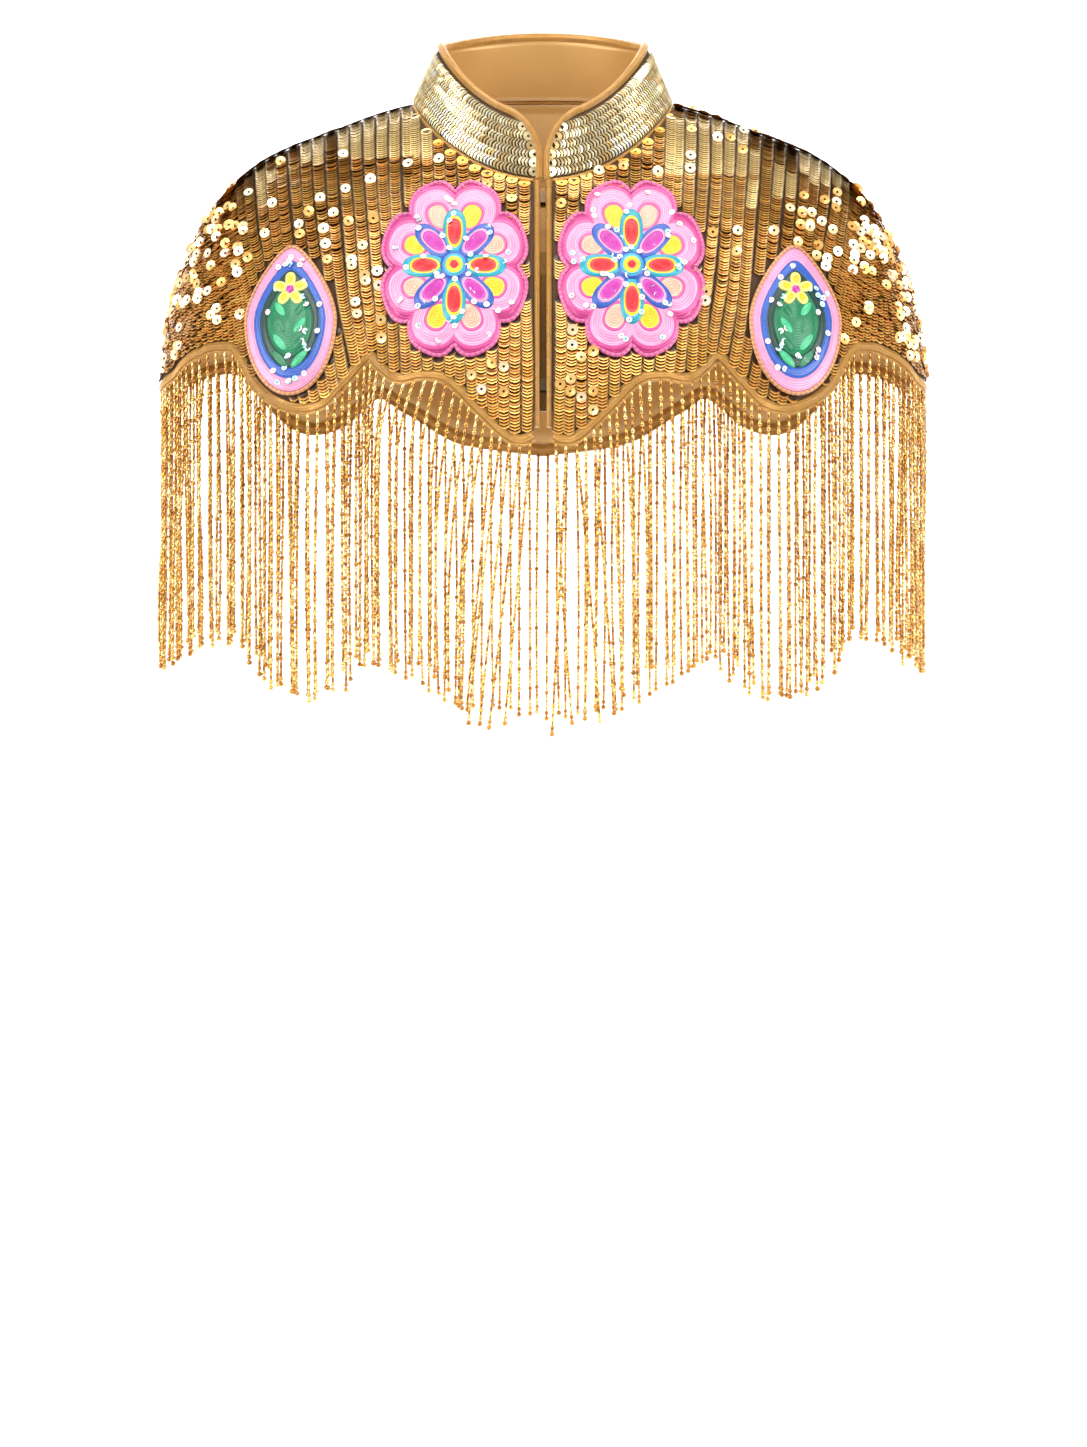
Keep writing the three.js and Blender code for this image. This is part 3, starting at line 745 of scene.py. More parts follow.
class Half(Enum):
    """The three cut panels, with the turns that they cover."""

    RIGHT = "front_right"
    LEFT = "front_left"
    BACK = "back"

    def turns(self, across: Array, share: Array) -> Array:
        """Turns at shares across the panel, with the front edges a fixed distance from the centre line.

        Args:
            across: 0 to 1 across the panel, in the order of growing turn.
            share: shares of the way down.

        Returns:
            Turns in degrees.
        """
        if self is Half.BACK:
            return 90 + 180 * across + 0 * share
        edge = turn_at_x(ring_at(share), PANEL_EDGE_X)
        if self is Half.RIGHT:
            return edge + (90 - edge) * across
        return 360 - (edge + (90 - edge) * (1 - across))


@dataclass
class Discs:
    """Sequins: many small cupped discs with eight sides, laid as overlapping scales."""

    radius: float = 3.8
    cup: float = 0.35
    sides: int = 8

    def patch(self, centre: Array, out: Array, run: Array, lean: Array, scale: Array, tone: Array) -> Patch:
        """Build every disc at once: a fan of points round each centre, in its own leaning plane.

        Args:
            centre: disc centres.
            out: directions out of the cloth.
            run: directions along the string of sequins.
            lean: how far each disc leans back along its string, in radians.
            scale: each disc's size.
            tone: each disc's colour.

        Returns:
            One patch with all discs.
        """
        angle = circle(self.sides)
        run = unit(run - (run * out).sum(-1, keepdims=True) * out)
        side = np.cross(out, run)
        face = out * np.cos(lean)[:, None] - run * np.sin(lean)[:, None]
        along = run * np.cos(lean)[:, None] + out * np.sin(lean)[:, None]
        reach = (self.radius * scale)[:, None, None]
        rim = centre[:, None] + reach * (np.cos(angle)[None, :, None] * along[:, None]
                                         + np.sin(angle)[None, :, None] * side[:, None])
        hub = centre - face * self.cup
        count = len(centre)
        points = np.concatenate([hub[:, None], rim], 1).reshape(-1, 3)
        base = np.arange(count)[:, None] * (self.sides + 1)
        k = np.arange(self.sides)
        fan = np.stack([np.broadcast_to(base, (count, self.sides)), base + 1 + k,
                        base + 1 + (k + 1) % self.sides], -1).reshape(-1, 3)
        a, b, c = (points[fan[0, m]] for m in range(3))
        if np.dot(np.cross(b - a, c - a), face[0]) < 0:
            fan = fan[:, ::-1]
        disc_uv = np.concatenate([[[0, 0]], np.stack([np.cos(angle), np.sin(angle)], -1)])
        uv = np.tile(disc_uv, (count, 1))
        return Patch(points, [fan], uv, np.repeat(tone, self.sides + 1, 0))

    def strings(self, centre: Array, out: Array, run: Array, lean: Array, scale: Array, tone: Array,
                top: Array) -> list[Patch]:
        """Build strings of discs in two patches, since nothing lies on the top disc of a string to cast the
        painted shadow.

        Args:
            centre: disc centres.
            out: directions out of the cloth.
            run: directions along the string of sequins.
            lean: how far each disc leans back along its string, in radians.
            scale: each disc's size.
            tone: each disc's colour.
            top: which discs are the top of their string.

        Returns:
            The patch of covered discs and the patch of top discs, which has the second material.
        """
        covered, tops = (self.patch(centre[k], out[k], run[k], lean[k], scale[k], tone[k])
                         for k in (~top, top))
        tops.finish = 1
        return [covered, tops]


GOLD_TONES = tones((230, 146, 36), (238, 164, 52), (206, 124, 26), (250, 186, 74))
PALE_TONES = tones((236, 220, 172), (214, 196, 146), (250, 238, 200), (210, 174, 112))
# Loose discs are paler than the strung ones: a painted highlight.
LOOSE_HIGHLIGHT_TONES = tones((255, 228, 176), (248, 208, 132), (255, 242, 212), (238, 184, 100))
CLEAR_TONES = tones((235, 245, 250), (190, 235, 235), (250, 225, 235))
BEAD_TONES = tones((226, 180, 92), (204, 146, 58), (240, 206, 130), (180, 122, 42))
# The pale tone of flat discs is a painted reflection of the lights.
FLAT_REFLECTION_TONE = tones((255, 214, 130))


def slow_noise(rng: np.random.Generator, a: Array, b: Array, waves: int = 9, fast: float = 1.0) -> Array:
    """Smooth noise of two values, near minus one to one: a sum of sine waves of random slant and phase.

    Args:
        rng: the source of the waves.
        a: first value, of order one.
        b: second value, of order one.
        waves: how many waves are added.
        fast: how quickly they vary.

    Returns:
        Noise for each pair.
    """
    total = np.zeros(np.broadcast(a, b).shape)
    for ka, kb, phase in rng.uniform([-6, -6, 0], [6, 6, 2 * math.pi], (waves, 3)):
        total += np.sin(fast * (ka * a + kb * b) + phase)
    return total / math.sqrt(waves)


@dataclass
class Motif:
    """Where an applique lies on the front: its middle and half sizes in millimetres, seen from the front."""

    x: float
    z: float
    half_wide: float
    half_tall: float
    notch: float = 0.0

    def covers(self, points: Array, margin: float) -> Array:
        """Which points of the front lie under the motif's outline, less a margin."""
        across = (np.abs(points[:, 0]) - self.x) / (self.half_wide - margin)
        up = (points[:, 2] - self.z) / (self.half_tall - margin)
        wave = np.abs(np.sin(4 * np.arctan2(up, across)))
        reach = 1 - self.notch * (1 - wave) ** 2
        return (np.hypot(across, up) < reach) & (points[:, 1] < 0)


ROSETTE = Motif(53, -110, 44.5, 56, 0.16)
DROP = Motif(151, -141, 27, 45)

# Where the strings of sequins start. Columns: turn at the hem, x on the neck seam or the shoulder line.
STRING_STARTS = np.array([
    [0, 0], [17, 80], [20, 95], [24, 116], [28, 136], [33, 160], [38, 180], [42, 192],
])

# The turn at the hem beyond which strings fan out, and where they start: shares of their length in turn.
FAN = 43.0
FAN_STARTS = np.array([0.0, 0.1, 0.3])

# Shares of the way down: where strings are evenly spaced, where they start below the shoulder line and the
# neck seam, where they reach their turn at the hem, and what is kept clear above the hem.
SPACING_SHARE = 0.86
STRING_TOPS = (0.002, 0.013)
STRING_FOOT = 0.93
HEM_CLEAR = 0.018

# How far strings run as a share of the way to their foot, and how far they wander in millimetres.
STRING_END = 1.1
WANDER = 0.7

# What sequins keep clear of, in millimetres: the front edge, and the appliques, which cover a little more.
EDGE_CLEAR = 1.8
APPLIQUE_CLEAR = -0.8

# Where sequins lie flat as bars, tinted pale as a painted reflection of the lights. Columns: lowest and
# highest x, lowest and highest z.
FLATS = np.array([
    [-124, -70, -37, 5], [-149, -133, -39, -19], [-178, -166, -66, -42], [77, 130, -48, -10],
    [123, 131, -70, -51], [140, 152, -62, -40], [160, 186, -52, -30],
])

# Where loose sequins lie, with painted highlight on the strung ones round them. Columns: middle x and z,
# half width, half height, share of the sequins.
LOOSE = np.array([
    [-204, -110, 20, 46, 0.07], [-138, -86, 26, 24, 0.09], [-104, -115, 8, 38, 0.11],
    [-24, -172, 16, 26, 0.07], [-226, -142, 12, 30, 0.05], [-40, -42, 36, 12, 0.03],
    [40, -42, 36, 12, 0.03], [-162, -78, 20, 18, 0.03], [-100, -40, 60, 10, 0.02],
    [204, -115, 20, 46, 0.07], [224, -137, 10, 38, 0.08], [160, -88, 26, 24, 0.1],
    [106, -104, 12, 22, 0.08], [22, -172, 14, 26, 0.07], [95, -28, 40, 20, 0.04], [0, -70, 60, 14, 0.02],
])


def closeness(across: Array, up: Array, spots: Array, fade: float) -> Array:
    """How much each place belongs to each oval spot: one in its middle, fading outside.

    Args:
        across: each place's first value.
        up: each place's second value.
        spots: rows that begin with the middle's two values and the two half sizes.
        fade: where a spot has faded away, in half sizes from its middle.

    Returns:
        A row for each place, with a column for each spot.
    """
    away = (across[:, None] - spots[:, 0]) / spots[:, 2], (up[:, None] - spots[:, 1]) / spots[:, 3]
    return np.clip(fade - np.hypot(*away), 0, 1)


@dataclass
class Quarter:
    """A quarter of the cape from a centre line to the shoulder line, as first turn and direction.

    A quarter with a seam also has one string along the shoulder line.
    """

    base: float
    sign: float
    seam: bool = False
    gap: float = 6.3
    pitch: float = 1.9

    def strings(self, rng: np.random.Generator) -> Array:
        """Every sequin of the quarter: strings fall from the neck seam and the shoulder line to the hem.

        Each string runs straight in x against its share of the way down, with a slow wander. Those at the
        side fan out between the last straight one and the shoulder line. Sequins are evenly spaced.

        Args:
            rng: the source of the wander and of each string's first step.

        Returns:
            Rows of turn, share, the string's direction in x, y and z, and one for the top of a string.
        """
        t = np.linspace(0, 90, 400)
        ring = ring_point(np.broadcast_to(ring_at(SPACING_SHARE), (400, 7)), t)
        run = run_length(ring)
        count = round(run[-1] / self.gap)
        foot = np.interp((np.arange(count) + 0.5) / count * run[-1], run, t)
        first_x = np.interp(foot, STRING_STARTS[:, 0], STRING_STARTS[:, 1])[:, None]
        late = np.where(foot > FAN, FAN_STARTS[np.arange(count) % 3], 0.0)
        if self.seam:
            count, foot, late = count + 1, np.append(foot, 90.0), np.append(late, 0.0)
            first_x = np.concatenate([first_x, [[RINGS[0, 0]]]])
        fan = foot[:, None] > FAN
        head = np.degrees(np.arcsin(np.minimum(first_x / RINGS[0, 0], 1)))
        start = np.interp(first_x, RINGS[:, 0], np.arange(len(RINGS)) / LAST_RING)
        start = start + np.where(first_x > RINGS[0, 0], *STRING_TOPS)
        f = np.linspace(0, STRING_END, 99)[None]
        share = start + (STRING_FOOT - start) * f
        x0 = ring_point(ring_at(start), head)[..., 0]
        x1 = ring_point(ring_at(np.full((count, 1), STRING_FOOT)), np.minimum(foot[:, None], FAN))[..., 0]
        phase = rng.uniform(0, 6, (count, 1))
        x = x0 + (x1 - x0) * f + WANDER * np.sin(phase + 7 * f) * np.minimum(5 * f, 1) * ~fan
        low, high = np.zeros_like(x), np.full_like(x, 90.0)
        rings = ring_at(share)
        for _ in range(18):
            middle = (low + high) / 2
            short = ring_point(rings, middle)[..., 0] < x
            low, high = np.where(short, middle, low), np.where(short, high, middle)
        t = np.where(fan, low + (90 - low) * (foot[:, None] - FAN) / (90 - FAN), low)
        turn = self.base + self.sign * t
        points = surface(turn % 360, share)
        rows = np.concatenate([turn[..., None], share[..., None], np.gradient(points, axis=1)], 2)
        found = []
        for line, row, skip in zip(run_length(points), rows, late):
            steps = np.arange(np.interp(skip, f[0], line) + self.pitch * rng.random(), line[-1], self.pitch)
            top = np.arange(len(steps)) == 0
            found.append(np.stack([np.interp(steps, line, row[:, k]) for k in range(5)] + [top], -1))
        rows = np.concatenate(found)
        return rows[rows[:, 1] < hem_share(rows[:, 0] % 360) - HEM_CLEAR]


@dataclass
class Panel:
    """One cut panel: a cloth wall with satin inside and strings of sequins outside."""

    half: Half
    seed: int
    flat: tuple[float, float]
    rows: int = 26
    columns: int = 110

    def build(self, finishes: Finishes) -> None:
        """Build the cloth and the sequins.

        Args:
            finishes: the cape's materials.
        """
        cloth = self.cloth(finishes)
        pieces = self.sequins(finishes)
        round(half_area(cloth), 4)

    def cloth(self, finishes: Finishes) -> bpy.types.Object:
        """The wall: the cape's surface from the neck seam to the hem, and the same moved in."""
        columns = self.columns * (2 if self.half is Half.BACK else 1)
        across = np.linspace(0, 1, columns)[None]
        end = hem_share(self.half.turns(across, np.array([[0.85]])))
        share = 0.006 + (end - 0.012) * np.linspace(0, 1, self.rows)[:, None]
        turn = self.half.turns(across, share)
        outer = surface(turn, share)
        inner = outer - outward(turn, share) * WALL
        uv = np.stack([turn / 4, share * 60], -1)
        return make_cloth(self.half.value, outer, inner, uv, finishes)

    def sequins(self, finishes: Finishes) -> list[bpy.types.Object]:
        """The strings of sequins, leaning like scales, with flat bars and loose discs made pale as painted
        reflections, and painted highlight round the loose ones.
        """
        rng = np.random.default_rng(self.seed)
        quarters = {Half.RIGHT: [(0, 1, True)], Half.LEFT: [(360, -1, True)],
                    Half.BACK: [(180, -1), (180, 1)]}[self.half]
        rows = np.concatenate([Quarter(*q).strings(rng) for q in quarters])
        points = surface(rows[:, 0] % 360, rows[:, 1])
        if self.half is not Half.BACK:
            clear = np.abs(points[:, 0]) > PANEL_EDGE_X + EDGE_CLEAR
            clear &= ~ROSETTE.covers(points, APPLIQUE_CLEAR) & ~DROP.covers(points, APPLIQUE_CLEAR)
            rows, points = rows[clear], points[clear]
        turn, share, run, top = rows[:, 0], rows[:, 1], rows[:, 2:5], rows[:, 5] > 0
        out = outward(turn % 360, share)
        count = len(turn)
        patch = slow_noise(rng, turn / 22, share * 4)
        blocky = np.sign(slow_noise(rng, points[:, 0] / 9, points[:, 2] / 16))
        x, z = points[:, :1], points[:, 2:]
        flat = ((x > FLATS[:, 0]) & (x < FLATS[:, 1]) & (z > FLATS[:, 2]) & (z < FLATS[:, 3])).any(1)
        glow = closeness(points[:, 0], points[:, 2], LOOSE, 1.6)
        rough = 1.0 + 5 * glow.max(1) + 4 * (np.abs(points[:, 0]) > 185)
        lean = np.radians(np.maximum(13 + 4 * patch + rng.normal(0, rough), 3))
        lean = np.where(flat, np.radians(4), lean)
        # The tone varies at random; near the loose spots it is also raised and warmed as a painted
        # highlight.
        bright = 1.05 + 0.16 * patch + 0.06 * blocky + 0.7 * glow.max(1) + rng.normal(0, 0.06, count)
        tone = GOLD_TONES[np.minimum((rng.random(count) ** 1.3 * 4).astype(int), 3)] * bright[:, None]
        tone *= 1 + glow.max(1)[:, None] * [[0.1, 0.0, -0.1]]
        # Flat discs take a pale tone: a painted reflection of the lights.
        tone = np.where(flat[:, None], FLAT_REFLECTION_TONE * rng.uniform(0.94, 1.02, (count, 1)), tone)
        tone /= np.maximum(tone.max(1, keepdims=True), 1)
        lift = 0.9 + 0.2 * rng.random(count)
        scale = rng.uniform(0.97, 1.04, count)
        discs = Discs().strings(points + out * lift[:, None], out, run, lean, scale,
                                np.clip(tone, 0.02, 1), top)
        main_piece = make_piece(f"{self.half.value}_sequins", discs, [finishes.sequin, finishes.loose],
                                soft=False)
        loose = rng.random(count) < (glow * LOOSE[:, 4]).sum(1)
        points, out, run = points[loose], out[loose], run[loose]
        n = len(points)
        ahead = np.sign(points[:, 1:2]) * [[0.0, 0.7, 0.0]]
        tilt = unit(out + ahead + rng.normal(0, 0.2, (n, 3)))
        # Loose discs take pale tones: a painted highlight.
        tone = LOOSE_HIGHLIGHT_TONES[rng.integers(0, 4, n)]
        scale = rng.uniform(0.9, 1.05, n)
        discs = Discs(radius=3.5).patch(points + out * 2.4, tilt, run, np.zeros(n), scale, tone)
        loose_piece = make_piece(f"{self.half.value}_loose_sequins", [discs], [finishes.loose],
                                 soft=False)
        return [main_piece, loose_piece]


# Where the collar's sequins lie flat, and brighter as a painted highlight. Columns: turn, height, half width
# in turn, half height.
COLLAR_GLOW = np.array([[307, 12, 12, 9], [333, 8, 9, 6], [62, 22, 7, 9], [40, 8, 8, 7], [282, 28, 9, 8]])


@dataclass
class Collar:
    """The stand collar with its sequins, its binding and the piping in the neck seam."""

    rows: int = 12
    columns: int = 160
    row_gap: float = 5.6
    pitch: float = 2.0

    def build(self, finishes: Finishes) -> None:
        """Build the wall, sequins, binding and piping.

        Args:
            finishes: the cape's materials.
        """
        binding = self.binding(finishes)
        sequins = self.sequins(finishes)
        cloth = self.cloth(finishes)
        self.piping(finishes)
        round(half_area(cloth), 4)

    def cloth(self, finishes: Finishes) -> bpy.types.Object:
        """The wall, with rounded front corners."""
        inset = 2.4
        first = float(turn_at_x(RINGS[0], COLLAR_EDGE_X + inset))
        near = np.linspace(0, 1, 24) ** 2 * 22
        middle = np.linspace(first + 22, 338 - first, self.columns)[1:-1]
        turn = np.concatenate([first + near, middle, 360 - first - near[::-1]])[None]
        top = collar_height(turn, inset)
        up = 1.4 + (top - 1.4) * np.linspace(1, 0, self.rows)[:, None]
        turn = turn + 0 * up
        outer = collar_point(turn, up)
        inner = outer - collar_outward(turn, up) * COLLAR_WALL
        return make_cloth("collar", outer, inner, np.stack([turn / 4, up / 4], -1), finishes)

    def sequins(self, finishes: Finishes) -> bpy.types.Object:
        """Strings of pale sequins that run round the collar."""
        rng = np.random.default_rng(7)
        heights = np.arange(5.0, COLLAR_HEIGHT - 3, self.row_gap)
        step = self.pitch / 1.25
        turn, up = np.meshgrid(np.arange(3.8, 356.2, step), heights, indexing="ij")
        turn, up = turn.ravel(), up.ravel()
        keep = up < collar_height(turn, 2.1)
        before = np.minimum(turn, 360 - turn) - step
        top = ((before < 3.8) | (up >= collar_height(before, 2.1)))[keep]
        turn, up = turn[keep], up[keep] + rng.normal(0, 0.15, keep.sum())
        points = collar_point(turn, up)
        out = collar_outward(turn, up)
        run = collar_point(turn + 0.5, up) - collar_point(turn - 0.5, up)
        run = np.where(turn[:, None] > 180, -run, run)
        patch = slow_noise(rng, turn / 25, up / 12)
        glow = closeness(turn, up, COLLAR_GLOW, 1.5).max(1)
        lean = np.radians(np.maximum((8 + 6 * patch + rng.normal(0, 3, len(turn))) * (1 - glow), 3))
        tone = PALE_TONES[(rng.random(len(turn)) ** 1.3 * 4).astype(int)]
        # Near the collar's spots the tone is raised: a painted highlight.
        tone = tone * (1 + 0.18 * patch + rng.normal(0, 0.08, len(turn)) + 0.8 * glow)[:, None]
        tone = np.clip(tone, 0, 1)
        discs = Discs(radius=3.3).strings(points + out, out, run, lean, np.ones(len(turn)), tone, top)
        return make_piece("collar_sequins", discs, [finishes.collar, finishes.loose],
                          soft=False)

    def binding(self, finishes: Finishes) -> bpy.types.Object:
        """The corded roll up one front edge, round the top and down the other."""
        edge = float(turn_at_x(RINGS[0], COLLAR_EDGE_X))
        straight = np.linspace(0.6, COLLAR_HEIGHT - COLLAR_CORNER[1], 6)[:-1]
        angle = np.linspace(0, math.pi / 2, 24)
        corner_turn = turn_at_x(RINGS[0][None], COLLAR_EDGE_X + COLLAR_CORNER[0] * (1 - np.cos(angle)))
        corner_up = COLLAR_HEIGHT - COLLAR_CORNER[1] * (1 - np.sin(angle))
        middle = np.linspace(corner_turn[-1], 360 - corner_turn[-1], 150)[1:-1]
        turn = np.concatenate([np.full(5, edge), corner_turn, middle, 360 - corner_turn[::-1],
                               np.full(5, 360 - edge)])
        up = np.concatenate([straight, corner_up, np.full(148, COLLAR_HEIGHT), corner_up[::-1],
                             straight[::-1]])
        section = oval_section(2.3, 2.4, 24, -COLLAR_WALL / 2, 0.1)
        patch = sweep(collar_point(turn, up), collar_outward(turn, up), section)
        return make_piece("collar_binding_cord", [patch], [finishes.binding],
                          ("collar_binding",))

    def piping(self, finishes: Finishes) -> bpy.types.Object:
        """The thin piping in the neck seam."""
        first = float(turn_at_x(RINGS[0], 6.2))
        turn = np.linspace(first, 360 - first, 200)
        patch = sweep(collar_point(turn, 0 * turn), collar_outward(turn, 2 + 0 * turn),
                      oval_section(1.15, 1.15, 12))
        return make_piece("neck_seam_piping", [patch], [finishes.binding], ("neck_piping",))


@dataclass
class FrontClosure:
    """The edge-to-edge opening: two pipings, a glossy underlap and two hooks."""

    def build(self, finishes: Finishes) -> None:
        """Build the pipings and dress the underlap and the hooks.

        Args:
            finishes: the cape's materials.
        """
        end = float(hem_share(np.array([0.0]))[0])
        share = np.linspace(0, end, 90)
        for side, label in ((1, "right"), (-1, "left")):
            points = surface(np.zeros(90), share)
            points[:, 0] = side * PIPING_X
            section = oval_section(1.75, 1.65, 16, -WALL / 2, 0.06)
            patch = sweep(points, outward(np.zeros(90), share), section)
            make_piece(f"front_edge_piping_{label}", [patch], [finishes.binding],
                       (f"front_piping_{label}",))
        for node, material in (("underlap", finishes.underlap), ("hook_top", finishes.metal),
                               ("hook_bottom", finishes.metal)):
            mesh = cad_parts[node].data
            mesh.materials.clear()
            mesh.materials.append(material)


def hem_frames(low: float, high: float, count: int) -> tuple[Array, Array, Array]:
    """Points of the hem between two turns, with outward and downward directions.

    Args:
        low: first turn.
        high: last turn.
        count: how many points.

    Returns:
        Points, outward normals and the directions in the cloth that point down out of it.
    """
    turn = np.linspace(low, high, count)
    share = hem_share(turn)
    points = surface(turn, share)
    near = [surface(turn + d, hem_share(turn + d)) for d in (-0.3, 0.3)]
    out = outward(turn, share)
    down = unit(np.cross(out, unit(near[1] - near[0])))
    down *= np.where(down[:, 2:] > 0, -1, 1)
    return points, out, down


@dataclass
class HemBinding:
    """The corded binding along the scalloped hem."""

    def build(self, finishes: Finishes) -> None:
        """Build one binding for each panel.

        Args:
            finishes: the cape's materials.
        """
        stretches = (("front_right", HEM_FIRST, 90, 240), ("back", 90, 270, 480),
                     ("front_left", 270, 360 - HEM_FIRST, 240))
        for label, low, high, count in stretches:
            points, out, _ = hem_frames(low, high, count)
            patch = sweep(points, out, oval_section(1.9, 2.7, 24, -WALL / 2, 0.12))
            make_piece(f"hem_cord_{label}", [patch], [finishes.binding],
                       (f"hem_binding_{label}",))


@dataclass
class Fringe:
    """Bead strings that hang from the hem: a bead profile carried down each string."""

    name: str
    low: float
    high: float
    seed: int
    strands: int = 53
    length: float = 177.0

    # How the strings hang. Columns: signed turn, sideways shift at the tip, share of the length where
    # the shift is done, and how far neighbours cross, in millimetres.
    HANG = np.array([
        [-180, 0, 1, 1], [-100, 0, 1, 2], [-62, -1, 1, 2], [-50, 3, 0.6, 2], [-38, 0, 1, 1.5],
        [-27, -2, 0.5, 1.5], [-22, -9, 0.28, 1], [-15, -10, 0.35, 1], [-9, -12, 0.9, 2],
        [-5, -19, 1, 2], [-2, -17, 1, 2], [-1, -9, 1, 3], [1, -3, 1, 12], [5, 4, 1, 14],
        [9, 5, 1, 6], [14, 3, 0.8, 2], [27, 2, 0.7, 2], [38, 1, 1, 1.5], [55, -2, 0.8, 2],
        [75, 2, 1, 2], [110, 0, 1, 2], [180, 0, 1, 1],
    ])

    # One stretch of beads. Columns: distance along the string and radius, in millimetres.
    BEADS = np.array([
        [0.0, 0.6], [0.3, 1.0], [4.5, 1.0], [4.8, 0.6], [5.1, 0.95], [9.2, 0.95], [9.5, 0.6],
        [9.9, 1.3], [11.0, 1.55], [12.1, 1.3], [12.5, 0.6],
    ])
    STRETCH = 12.9

    def profile(self) -> tuple[Array, Array, Array]:
        """Distances, radii and bead numbers down a string, with a round bead at its foot."""
        repeats = int(self.length // self.STRETCH)
        start = np.repeat(np.arange(repeats), len(self.BEADS)) * self.STRETCH
        distance = start + np.tile(self.BEADS[:, 0], repeats)
        radius = np.tile(self.BEADS[:, 1], repeats)
        within = np.tile([0, 0, 0, 0, 1, 1, 1, 2, 2, 2, 2], repeats)
        bead = np.repeat(np.arange(repeats) * 3, len(self.BEADS)) + within
        foot = distance[-1] + np.array([0.5, 1.0, 2.0, 3.0, 3.6])
        return (np.concatenate([distance, foot]), np.concatenate([radius, [0.9, 1.6, 1.9, 1.5, 0.4]]),
                np.concatenate([bead, np.full(5, 3 * repeats)]))

    def seam(self, count: int) -> tuple[Array, Array]:
        """The line below the binding that the strings are sewn to, with its outward directions."""
        points, out, down = hem_frames(self.low, self.high, count)
        return points - 0.8 * out + 3.4 * down, out

    def roots(self) -> tuple[Array, Array, Array]:
        """Evenly spaced roots along the hem, with their signed turns and outward directions."""
        line, out = self.seam(600)
        run = run_length(line)
        at = (np.arange(self.strands) + 0.5) / self.strands * run[-1]
        place = np.stack([np.interp(at, run, line[:, k]) for k in range(3)], -1)
        turn = np.interp(at, run, np.linspace(self.low, self.high, 600))
        facing = np.stack([np.interp(at, run, out[:, k]) for k in range(3)], -1)
        return place, np.where(turn > 180, turn - 360, turn), facing

    def build(self, finishes: Finishes) -> None:
        """Build every string of the stretch as one mesh.

        Args:
            finishes: the cape's materials.
        """
        rng = np.random.default_rng(self.seed)
        root, turn, facing = self.roots()
        distance, radius, bead = self.profile()
        shift, done, cross = (np.interp(turn, self.HANG[:, 0], self.HANG[:, k]) for k in (1, 2, 3))
        flip = np.where(np.arange(self.strands) % 2 == 0, 1.0, -1.0) * rng.uniform(0.3, 1.0, self.strands)
        length = 1 + rng.normal(0, 0.012, self.strands)
        f = distance / distance[-1]
        ease = np.clip(f[None] / done[:, None], 0, 1)
        ease = np.where(done[:, None] < 0.95, ease * (2 - ease), ease)
        sway = rng.normal(0, 0.8, (self.strands, 1)) * np.sin(math.pi * f)[None]
        across = shift[:, None] * ease + (cross * flip)[:, None] * f + sway
        level = unit(facing * [1, 1, 0])
        side = np.stack([-level[:, 1], level[:, 0], 0 * level[:, 0]], -1)
        depth = rng.normal(0, 1.6, (self.strands, 1)) * f
        depth = depth + rng.normal(0, 0.6, (self.strands, 1)) * np.sin(6 * f)
        path = root[:, None] + side[:, None] * across[..., None] + level[:, None] * depth[..., None]
        path[..., 2] -= length[:, None] * distance
        angle = circle(5)
        wide = radius[None, :, None] * np.ones((self.strands, 1, 1))
        ring = np.stack([wide * np.cos(angle), wide * np.sin(angle), 0 * wide * angle], -1)
        points = (path[:, :, None] + ring).reshape(-1, 3)
        rows = len(distance)
        quads = grid_faces(rows, 5, flip=True, wrap=True)
        starts = np.arange(self.strands) * rows * 5
        faces = (quads[None] + starts[:, None, None]).reshape(-1, 4)
        top = (np.arange(5)[None] + starts[:, None])
        foot = (np.arange(5)[::-1][None] + starts[:, None] + (rows - 1) * 5)
        tint = BEAD_TONES[rng.integers(0, 4, (self.strands, bead.max() + 1))][:, bead]
        tone = np.repeat(tint.reshape(-1, 3), 5, 0)
        a, b, c = (points[faces[0, k]] for k in range(3))
        inward = np.dot(np.cross(b - a, c - b), (a + c) / 2 - path[0, :2].mean(0)) < 0
        loops = [f[:, ::-1] if inward else f for f in (faces, top, foot)]
        strings = Patch(points, loops, np.zeros((len(points), 2)), tone)
        make_piece(f"{self.name}_strings", [strings], [finishes.beads], (self.name,))
        self.tape(finishes)

    def tape(self, finishes: Finishes) -> None:
        """The narrow tape behind the binding that the strings are sewn to."""
        line, out = self.seam(200)
        section = np.array([[0.5, -1.3], [0.5, 1.3], [-0.5, 1.3], [-0.5, -1.3]])
        make_piece(f"{self.name}_tape", [sweep(line, out, section)], [finishes.binding])


def on_front(x: Array, z: Array, out: Array) -> Array:
    """Points on the right front given by x and z as seen from the front, moved out from the cloth.

    Args:
        x: distances from the centre line.
        z: heights.
        out: distances out from the cloth.

    Returns:
        Points in millimetres.
    """
    low, high = np.zeros_like(x), np.full_like(x, 80.0)
    for _ in range(24):
        middle = (low + high) / 2
        inside = surface(middle, share_at_z(middle, z))[..., 0] < x
        low, high = np.where(inside, middle, low), np.where(inside, high, middle)
    share = share_at_z(low, z)
    return surface(low, share) + outward(low, share) * out[..., None]


